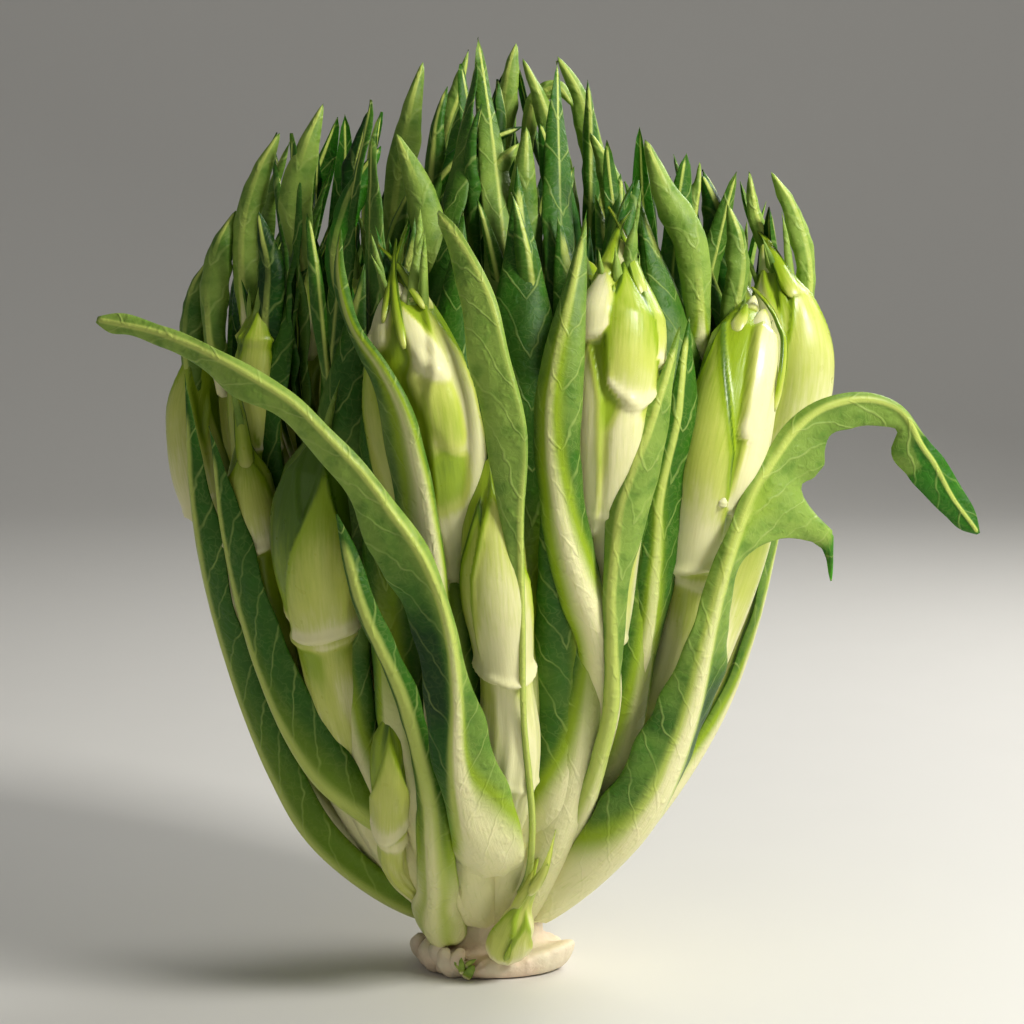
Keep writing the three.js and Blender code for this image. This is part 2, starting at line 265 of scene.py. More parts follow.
def buildPiece(name, skins, node):
    # a skin is rows of corners, closed round each row; its first and last rows are closed by a fan to their
    # middle
    spots, quads, fans, quadMaterial, fanMaterial = [], [], [], [], []
    keys = ("rib", "pale", "under", "green", "across", "up")
    values = {key: [] for key in keys}
    names = list(dict.fromkeys(skin["material"] for skin in skins))
    start = 0
    for skin in skins:
        points = skin["points"]
        rows, around, _ = points.shape
        ends = [points[0].mean(axis=0), points[-1].mean(axis=0)]
        spots.append(np.concatenate([points.reshape(-1, 3), ends]))
        index = start + np.arange(rows * around).reshape(rows, around)
        after = np.roll(index, -1, axis=1)
        quads.append(np.stack([index[:-1], after[:-1], after[1:], index[1:]], axis=-1).reshape(-1, 4))
        foot, tip = start + rows * around, start + rows * around + 1
        footFan = np.stack([np.full(around, foot), after[0], index[0]], axis=-1)
        tipFan = np.stack([np.full(around, tip), index[-1], after[-1]], axis=-1)
        fans.append(np.concatenate([footFan, tipFan]))
        slotIndex = names.index(skin["material"])
        quadMaterial.append(np.full((rows - 1) * around, slotIndex))
        fanMaterial.append(np.full(2 * around, slotIndex))
        for key in keys:
            value = np.broadcast_to(skin.get(key, 0.0), (rows, around))
            values[key].append(np.concatenate([value.ravel(), [value[0].mean(), value[-1].mean()]]))
        start += rows * around + 2
    spots, quads, fans = np.concatenate(spots), np.concatenate(quads), np.concatenate(fans)
    mesh = bpy.data.meshes.new(name)
    mesh.vertices.add(len(spots))
    mesh.vertices.foreach_set("co", spots.ravel())
    mesh.loops.add(quads.size + fans.size)
    mesh.loops.foreach_set("vertex_index", np.concatenate([quads.ravel(), fans.ravel()]).astype(np.int32))
    mesh.polygons.add(len(quads) + len(fans))
    starts = np.concatenate([np.arange(len(quads)) * 4, quads.size + np.arange(len(fans)) * 3])
    mesh.polygons.foreach_set("loop_start", starts.astype(np.int32))
    for material in names:
        mesh.materials.append(finishes[material])
    faceMaterial = np.concatenate([*quadMaterial, *fanMaterial])
    mesh.polygons.foreach_set("material_index", faceMaterial.astype(np.int32))
    mesh.polygons.foreach_set("use_smooth", np.ones(len(quads) + len(fans), bool))
    for key in keys:
        layer = mesh.attributes.new(key, "FLOAT", "POINT")
        layer.data.foreach_set("value", np.concatenate(values[key]).astype(np.float32))
    mesh.update(calc_edges=True)
    piece = bpy.data.objects.new(name, mesh)
    bpy.context.scene.collection.objects.link(piece)
    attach(piece, "root")
    if node:
        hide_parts(node)
    return piece


def plain(node):  # leaf_big_left becomes leafBigLeft
    first, *rest = node.split("_")
    return first + "".join(word.capitalize() for word in rest)


# finishes

tones = {
    "cream": 0xECE8B0, "butter": 0xC9D163, "lime": 0x96B01E, "moss": 0x4E6E0A,
    "leafDark": 0x103803, "leafMid": 0x2A6806, "leafBright": 0x4CA60A,
    "underDark": 0x346210, "underLight": 0x8CA846, "vein": 0xA9BE64, "rib": 0xBCCB62,
    "cut": 0xE6CDB4, "cutDark": 0xB78E6B, "skin": 0xE4D9BC, "floor": 0xD6D4CE,
}


def linear(code):  # a screen colour as the light that it stands for
    parts = np.array([code >> 16 & 255, code >> 8 & 255, code & 255]) / 255
    return (*np.where(parts <= 0.04045, parts / 12.92, ((parts + 0.055) / 1.055) ** 2.4).tolist(), 1.0)


def startFinish(name):
    # gives the shader, and short ways to add a node, read an attribute, do sums and mix colours
    material = bpy.data.materials.new(name)
    material.use_nodes = True
    tree = material.node_tree
    shader = tree.nodes["Principled BSDF"]

    def add(kind, inputs=(), **settings):
        made = tree.nodes.new(kind)
        for key, value in settings.items():
            setattr(made, key, value)
        for key, value in dict(inputs).items():
            if isinstance(value, bpy.types.NodeSocket):
                tree.links.new(value, made.inputs[key])
            else:
                made.inputs[key].default_value = value
        return made

    def read(name):
        return add("ShaderNodeAttribute", attribute_name=name).outputs["Fac"]

    def sums(operation, a, b=0.0, c=0.0):
        return add("ShaderNodeMath", {0: a, 1: b, 2: c}, operation=operation).outputs[0]

    def ease(low, high, value, toLow=0.0, toHigh=1.0):
        inputs = {"Value": value, "From Min": low, "From Max": high, "To Min": toLow, "To Max": toHigh}
        return add("ShaderNodeMapRange", inputs, interpolation_type="SMOOTHSTEP").outputs["Result"]

    def mix(amount, a, b):
        inputs = {"Factor": amount}
        made = add("ShaderNodeMix", inputs, data_type="RGBA", clamp_factor=True)
        for key, value in ((6, a), (7, b)):
            if isinstance(value, bpy.types.NodeSocket):
                tree.links.new(value, made.inputs[key])
            else:
                made.inputs[key].default_value = linear(tones[value])
        return made.outputs[2]

    def noise(place, scale, detail=3.0, rough=0.55):
        inputs = {"Vector": place, "Scale": scale, "Detail": detail, "Roughness": rough}
        return add("ShaderNodeTexNoise", inputs).outputs["Fac"]

    def finish(colour, roughness, height=None, strength=0.2, distance=0.0005, **constants):
        tree.links.new(colour, shader.inputs["Base Color"])
        tree.links.new(roughness, shader.inputs["Roughness"])
        if height is not None:
            bump = add("ShaderNodeBump", {"Height": height, "Strength": strength, "Distance": distance})
            tree.links.new(bump.outputs["Normal"], shader.inputs["Normal"])
        for key, value in constants.items():
            shader.inputs[key].default_value = value
        return material

    return add, read, sums, ease, mix, noise, finish


# what a user would change in the finishes: streaks, clouds, wax, grain and net are how fine each pattern
# is, streaky and cloudy how strong, rough the roughness at a pattern's low and high ends, and bump its
# strength and how deep it looks, in metres
finishLook = {
    "shoot": {"streaks": 2.2, "streaky": 0.30, "clouds": 45.0, "cloudy": 0.28, "wax": 220.0, "grain": 900.0,
              "rough": (0.26, 0.42), "bump": (0.25, 0.0006)},
    "leaf": {"veins": 0.62, "slant": -1.3, "veiny": 0.7, "net": 2.6, "netted": 0.16, "clouds": 60.0,
             "cloudy": 0.8, "grain": 700.0, "rough": (0.52, 0.38), "bump": (0.45, 0.0006)},
    "crown": {"grain": 320.0, "clouds": 70.0, "rough": (0.5, 0.68), "bump": (0.5, 0.0012)},
    "floor": {"clouds": 30.0, "rough": (0.55, 0.65)},
}


def shootFinish(look):
    # cream to yellow-green by the tint, with fine streaks along the shoot and a waxy gloss. The tint is
    # green + streaky * (streak - 0.5) + cloudy * (cloud - 0.5)
    add, read, sums, ease, mix, noise, finish = startFinish("shootFlesh")
    across, up, green = read("across"), read("up"), read("green")
    along = add("ShaderNodeCombineXYZ", {
        "X": sums("MULTIPLY", across, 5.0), "Y": sums("MULTIPLY", up, 0.5)}).outputs[0]
    place = add("ShaderNodeTexCoord").outputs["Object"]
    streak = noise(along, look["streaks"], 4.0)
    cloud = noise(place, look["clouds"], 3.0)
    tint = sums("ADD", green, sums("MULTIPLY", sums("SUBTRACT", streak, 0.5), look["streaky"]))
    tint = sums("ADD", tint, sums("MULTIPLY", sums("SUBTRACT", cloud, 0.5), look["cloudy"]))
    colour = mix(ease(0.02, 0.38, tint), "cream", "butter")
    colour = mix(ease(0.34, 0.7, tint), colour, "lime")
    colour = mix(ease(0.74, 1.1, tint), colour, "moss")
    colour = mix(ease(0.35, 0.95, read("rib"), 0.0, 0.75), colour, "rib")
    rough = ease(0.2, 0.8, noise(place, look["wax"], 2.0), *look["rough"])
    grain = noise(place, look["grain"], 2.0)
    height = sums("ADD", sums("MULTIPLY", streak, 0.8), sums("MULTIPLY", grain, 0.2))
    return finish(colour, rough, height, *look["bump"], **{
        "Subsurface Weight": 0.22, "Subsurface Scale": 0.004, "Subsurface Radius": (1.0, 0.9, 0.45),
        "Specular IOR Level": 0.4, "Coat Weight": 0.06, "Coat Roughness": 0.3})


def leafFinish(look):
    # dark green inside the leaf and grey-green outside it, with slanting side veins, a net of small ones
    # between, a pale rib, and a white stalk that passes through yellow-green. A side vein runs where
    # veins * up + slant * |across| + drift is half-way between whole numbers
    add, read, sums, ease, mix, noise, finish = startFinish("leafBlade")
    across, up, green = read("across"), read("up"), read("green")
    pale, rib, under = read("pale"), read("rib"), read("under")
    side = sums("ABSOLUTE", across)
    place = add("ShaderNodeTexCoord").outputs["Object"]
    flat = add("ShaderNodeCombineXYZ", {"X": across, "Y": up}).outputs[0]
    drift = noise(flat, 0.9, 2.0)
    slant = sums("ADD", sums("MULTIPLY", up, look["veins"]), sums("MULTIPLY", side, look["slant"]))
    slant = sums("ADD", slant, sums("MULTIPLY", drift, 0.8))
    vein = ease(0.43, 0.49, sums("ABSOLUTE", sums("SUBTRACT", sums("FRACT", slant), 0.5)))
    wander = add("ShaderNodeTexNoise", {"Vector": flat, "Scale": 2.0}).outputs["Color"]
    warped = add("ShaderNodeVectorMath", {0: flat, 1: wander}, operation="ADD").outputs[0]
    cells = {"Vector": warped, "Scale": look["net"]}
    net = add("ShaderNodeTexVoronoi", cells, feature="DISTANCE_TO_EDGE").outputs["Distance"]
    net = ease(0.0, 0.09, net, 1.0, 0.0)
    lines = sums("MAXIMUM", sums("MULTIPLY", vein, look["veiny"]), sums("MULTIPLY", net, look["netted"]))
    lines = sums("MULTIPLY", lines, ease(0.35, 0.65, drift, 0.45, 1.0))
    cloud = noise(place, look["clouds"], 4.0)
    tone = sums("ADD", green, sums("MULTIPLY", sums("SUBTRACT", cloud, 0.5), look["cloudy"]))
    inside = mix(ease(0.2, 0.8, tone), "leafDark", "leafMid")
    inside = mix(ease(0.75, 1.1, tone), inside, "leafBright")
    outside = mix(ease(0.15, 0.95, tone), "underDark", "underLight")
    outside = mix(ease(0.45, 0.75, noise(flat, 1.3, 3.0), 0.0, 0.55), outside, "leafMid")
    blade = mix(under, inside, outside)
    blade = mix(sums("MULTIPLY", lines, ease(0.0, 1.0, under, 0.45, 0.75)), blade, "vein")
    blade = mix(ease(0.02, 0.45, pale, 0.0, 0.9), blade, "lime")
    stalk = mix(ease(0.4, 0.95, pale), blade, "cream")
    spine = mix(ease(0.25, 0.85, pale), "rib", "cream")
    along = add("ShaderNodeCombineXYZ", {
        "X": sums("MULTIPLY", across, 9.0), "Y": sums("MULTIPLY", up, 0.6)}).outputs[0]
    streak = noise(along, 2.0, 3.0)
    spine = mix(ease(0.5, 0.8, streak, 0.0, 0.45), spine, "butter")
    colour = mix(ease(0.25, 0.8, rib), stalk, spine)
    rough = ease(0.0, 1.0, sums("ADD", rib, pale), *look["rough"])
    swell = ease(0.0, 0.5, add("ShaderNodeTexVoronoi", cells, feature="SMOOTH_F1").outputs["Distance"])
    grain = noise(place, look["grain"], 3.0)
    height = sums("ADD", sums("MULTIPLY", lines, 0.9), sums("MULTIPLY", grain, 0.4))
    height = sums("ADD", height, sums("MULTIPLY", swell, -0.8))
    height = sums("ADD", height, sums("MULTIPLY", streak, sums("MULTIPLY", sums("MAXIMUM", rib, pale), 0.6)))
    return finish(colour, rough, height, *look["bump"], **{
        "Subsurface Weight": 0.1, "Subsurface Scale": 0.002, "Subsurface Radius": (0.6, 1.0, 0.2),
        "Specular IOR Level": 0.25})


def crownFinish(look):
    # cream skin above and a pinkish, fibrous cut below, browned in the creases where 0.7 grain + 0.6 rib
    # is high
    add, read, sums, ease, mix, noise, finish = startFinish("crownFlesh")
    place = add("ShaderNodeTexCoord").outputs["Object"]
    grain = noise(place, look["grain"], 5.0, 0.65)
    cloud = noise(place, look["clouds"], 4.0)
    colour = mix(ease(0.35, 0.7, cloud), "cut", "skin")
    colour = mix(read("pale"), colour, "skin")
    worn = sums("ADD", sums("MULTIPLY", grain, 0.7), sums("MULTIPLY", read("rib"), 0.6))
    colour = mix(ease(0.5, 1.0, worn, 0.0, 0.8), colour, "cutDark")
    colour = mix(ease(0.1, 0.8, read("green"), 0.0, 0.9), colour, "lime")
    rough = ease(0.3, 0.7, grain, *look["rough"])
    return finish(colour, rough, sums("ADD", grain, cloud), *look["bump"], **{
        "Subsurface Weight": 0.12, "Subsurface Scale": 0.003, "Subsurface Radius": (1.0, 0.7, 0.5)})


def floorFinish(look):
    # one pale tone, with a slow change of roughness
    add, read, sums, ease, mix, noise, finish = startFinish("paleFloor")
    place = add("ShaderNodeTexCoord").outputs["Object"]
    colour = mix(0.0, "floor", "floor")
    return finish(colour, ease(0, 1, noise(place, look["clouds"]), *look["rough"]))


makers = {"shoot": shootFinish, "leaf": leafFinish, "crown": crownFinish, "floor": floorFinish}
finishes = {name: make(finishLook[name]) for name, make in makers.items()}
print("finishes made")


# the floor: flat, then turned up behind along a quarter circle and a wall
floorSize = {"half": 3.0, "front": -2.5, "bend": 1.2, "radius": 1.0, "high": 2.5}


def buildFloor():
    # the profile is a line, the quarter circle radius * (sin a, 1 - cos a), and a line up; it runs along X
    a = np.linspace(0, np.pi / 2, 24)
    y = np.concatenate([[floorSize["front"]], floorSize["bend"] + floorSize["radius"] * np.sin(a)])
    z = np.concatenate([[0], floorSize["radius"] * (1 - np.cos(a))])
    y, z = np.append(y, y[-1]), np.append(z, floorSize["high"])
    x = np.array([-1, 1]) * floorSize["half"]
    spots = np.stack(np.broadcast_arrays(x[None, :], y[:, None], z[:, None]), axis=-1).reshape(-1, 3)
    first = np.arange(len(y) - 1) * 2
    mesh = bpy.data.meshes.new("floor")
    mesh.from_pydata(spots.tolist(), [], np.stack([first, first + 1, first + 3, first + 2], axis=-1).tolist())
    mesh.polygons.foreach_set("use_smooth", np.ones(len(first), bool))
    mesh.materials.append(finishes["floor"])
    floor = bpy.data.objects.new("floor", mesh)
    bpy.context.scene.collection.objects.link(floor)


buildFloor()


# leaves

# what a leaf is like unless its own dictionary says otherwise: lengths in mm, a list runs from foot to
# tip, and a place is 0 at the foot and 1 at the tip
leafHabit = {
    "widen": 1.15,  # half-width over the solid's
    "thick": (3.5, 1.2, 0.5, 0.4),  # of the blade
    "rib": (4.5, 2.0, 1.0, 0.7),  # half-width of the rib
    "ribHigh": (1.5, 1.6, 1.0, 0.4),  # how far it stands out
    "aside": (0, 0, 0),  # where it runs, -1 at the left margin and 1 at the right
    "cup": (1.3, 0.8, 0.5, 0.4),  # how far the margins turn back, in radians
    "wave": (0.0, 0.8, 1.0, 0.6),  # height of the ruffles at the margins
    "ruffles": 4,
    "pucker": 0.22,  # height of the small swellings between the veins
    "crease": 0.25,  # height of the lengthwise folds at the foot
    "teeth": 0.07, "toothCount": 9,  # depth as a share of the half-width
    "uneven": 0.12,
    "left": (1, 1), "right": (1, 1),  # each side's width over the half-width
    "twist": (0, 0, 0),  # degrees about the spine
    "white": 0.22,  # how far up the white stalk reaches
    "tipLength": 0.25,  # share of its length over which the tip narrows
    "tipShape": 0.8,  # 1 for a straight taper, less for a round one
    "tone": 0.5,  # 0 dark, 1 bright
    "shift": (),  # pairs of place and mm: how far the rib's line lies to the right of the solid's middle
    "leftEdge": (), "rightEdge": (),  # pairs of place and mm: the margins' distances from the rib's line
    "sink": 0,  # mm that its foot is drawn down by
    "stalk": 0.85,  # how far the solid's own depth swells it
    "hang": 999,  # mm from the rib beyond which the right side hangs straight down
    "turned": (2, 3),  # places between which the inner face comes to the front
    "dark": (),  # painted shade: darker colour on the wings that turn from the light, (place, side, length, amount)
    "bleach": 1.0,  # how white the stalk is
    "ridges": (0, 0.0),  # how many lengthwise ridges at the foot, and how high
    "across": 14,  # corners on each face
    "seed": 1,
}


def leafSkin(spine, look, habit=leafHabit, material="leaf"):
    # s runs from -1 at the left margin to 1 at the right, v from foot to tip. A section is an arc of
    # half-width w that turns back by cup at each margin: x = w / cup * sin(s cup), y = -w / cup * (1 -
    # cos(s cup)). w is the solid's half-width * widen * the side's own share with its teeth, or the given
    # edges. The outer face adds ribHigh * exp(-((s - aside) w / rib)^2), a stalk of depth * sqrt(1 -
    # s^2), and at the foot folds and ridges of cos(count pi s). Ruffles add wave * s^2 * sine, small
    # swellings lie between the veins, and the inner face lies one thickness below, so that the section is
    # closed. Before that the middle line moves to the right by shift and its foot down by sink, and after
    # it what lies beyond hang drops straight down
    look = {**habit, **look}
    v = spine["at"][:, None]

    def course(key):
        return evenly(look[key], spine["at"])[:, None]

    def pairs(key):
        return smoothAt(*zip(*look[key]), spine["at"])[:, None] * mm

    if look["shift"]:
        spine["centre"] = spine["centre"] + spine["across"] * pairs("shift")
        finishSpine(spine)
    if look["sink"]:
        spine["centre"][:, 2] -= look["sink"] * mm * bell(spine["at"] / 0.07)
        finishSpine(spine)

    bunch = 1.45  # how closely the corners lie together at the margins
    half = np.sin(np.linspace(-1, 1, look["across"]) * bunch) / np.sin(bunch)
    s = np.concatenate([half, half[::-1]])[None, :]
    face = np.repeat([1.0, 0.0], look["across"])[None, :]  # 1 on the outer face
    leftSeed, rightSeed = np.random.default_rng(look["seed"]).integers(0, 9999, 2)
    white, rib, aside = look["white"], course("rib") * mm, course("aside")
    tip = np.clip((1 - v) / look["tipLength"], 0, 1) ** look["tipShape"]
    foot = np.clip(v / 0.02, 0.2, 1) ** 0.5
    stout = np.minimum(1, tip * 1.5) * foot
    bladed = blend(white * 0.5, white * 1.5 + 0.05, v)  # 0 on the stalk

    # margins
    starts = np.where(s < 0, 0.4, 1.5) + waver(v, leftSeed + 1, 2)
    notch = np.abs(np.sin(np.pi * look["toothCount"] * v + starts))
    teeth = look["teeth"] * bladed * (notch ** 3 - 0.3)
    if look["leftEdge"]:
        rough = 1 + teeth + 0.3 * look["uneven"] * waver(v, leftSeed, 4)
        w = np.where(s < 0, pairs("leftEdge"), pairs("rightEdge")) * rough
    else:
        left = course("left") + look["uneven"] * waver(v, leftSeed, 1.3)
        right = course("right") + look["uneven"] * waver(v, rightSeed, 1.3)
        edge = np.maximum(np.where(s < 0, left, right) + teeth, 0.12)
        w = spine["wide"][:, None] * look["widen"] * np.minimum(tip, foot) * edge

    # the arc, and how far each face stands off it
    cup = np.maximum(course("cup"), 0.03)
    x = w / cup * np.sin(s * cup)
    y = -w / cup * (1 - np.cos(s * cup))
    ribShape = bell((s - aside) * w / rib)
    groove = ribShape - 0.3 * bell((s - aside) * w / (rib * 2.2))
    ruffle = course("wave") * mm * s * s * bladed * np.where(
        s < 0, waver(v, leftSeed + 3, look["ruffles"]), waver(v, rightSeed + 4, look["ruffles"]))
    thick = course("thick") * mm * (1 - 0.8 * np.abs(s) ** 3) * stout
    long = spine["run"][-1] / mm * v
    pucker = np.sin(long / 1.9 + 3 * s + 2 * waver(v, leftSeed + 8, 3))
    pucker = pucker * np.sin(s * w / mm / 1.1 + 0.6 * np.sin(long / 3.1))
    pucker = look["pucker"] * mm * pucker * (1 - ribShape) * bladed * (1 - s * s)
    stalk = spine["deep"][:, None] * look["stalk"] * np.sqrt(np.clip(1 - s * s, 0, 1)) * stout
    folds = waver(s * 1.1 + 0.5 * v, leftSeed + 11, 2.2) * (1 - blend(0.02, 0.2, v))
    folds = folds * look["crease"] * mm * stout
    ridgeCount, ridgeHigh = look["ridges"]
    ridge = np.cos(ridgeCount * np.pi * s) * (1 - blend(0.3, 0.55, v)) * (ridgeHigh > 0)
    folds = folds + ridgeHigh * mm * ridge * stout
    lift = np.where(face > 0.5, course("ribHigh") * mm * groove * stout + stalk + folds, -thick) + pucker

    # the section set on its middle line
    turn = np.radians(course("twist"))
    across = spine["across"] * np.cos(turn) + spine["out"] * np.sin(turn)
    out = spine["out"] * np.cos(turn) - spine["across"] * np.sin(turn)
    beyond = np.clip(x - look["hang"] * mm, 0, None)
    sideways = (x - 0.8 * beyond + lift * np.sin(s * cup))[..., None]
    outward = (y + ruffle + lift * np.cos(s * cup))[..., None]
    points = spine["centre"][:, None] + across[:, None] * sideways + out[:, None] * outward
    points[..., 2] -= 0.95 * beyond

    # tints: painted shade on the wings that turn from the light, the inner face where it comes to the front,
    # and the white of the stalk
    shade = sum((amount * bell((v - place) / length) * blend(0.05, 0.4, s * side)
                 for place, side, length, amount in look["dark"]), 0 * s * v)
    inward = np.maximum(blend(*look["turned"], v - 0.03 * blend(0.2, 0.5, s)), blend(0, 1.5 * mm, beyond))
    upward = v * (0.6 + 0.85 * np.abs(s - aside) ** 1.6)
    pale = 1 - blend(white * 0.45, white * 1.9 + 0.03, upward)
    pale = look["bleach"] * pale - 1.6 * shade - 0.25 * (1 - ridge) * (ridgeHigh > 0)
    ribTint = ribShape * mixed(1, blend(0.6, 2.4, w / rib), blend(0.5, 0.8, v))
    return {
        "points": points, "material": material, "rib": ribTint, "pale": np.clip(pale, 0, 1),
        "under": face * (1 - inward) * (1 - np.clip(shade, 0, 1)),
        "green": look["tone"] + 0.15 * waver(v, leftSeed + 5, 2) + 0.1 * inward - 0.4 * shade,
        "across": s * w * 100, "up": v * spine["run"][-1] * 100 + 0 * s,
    }


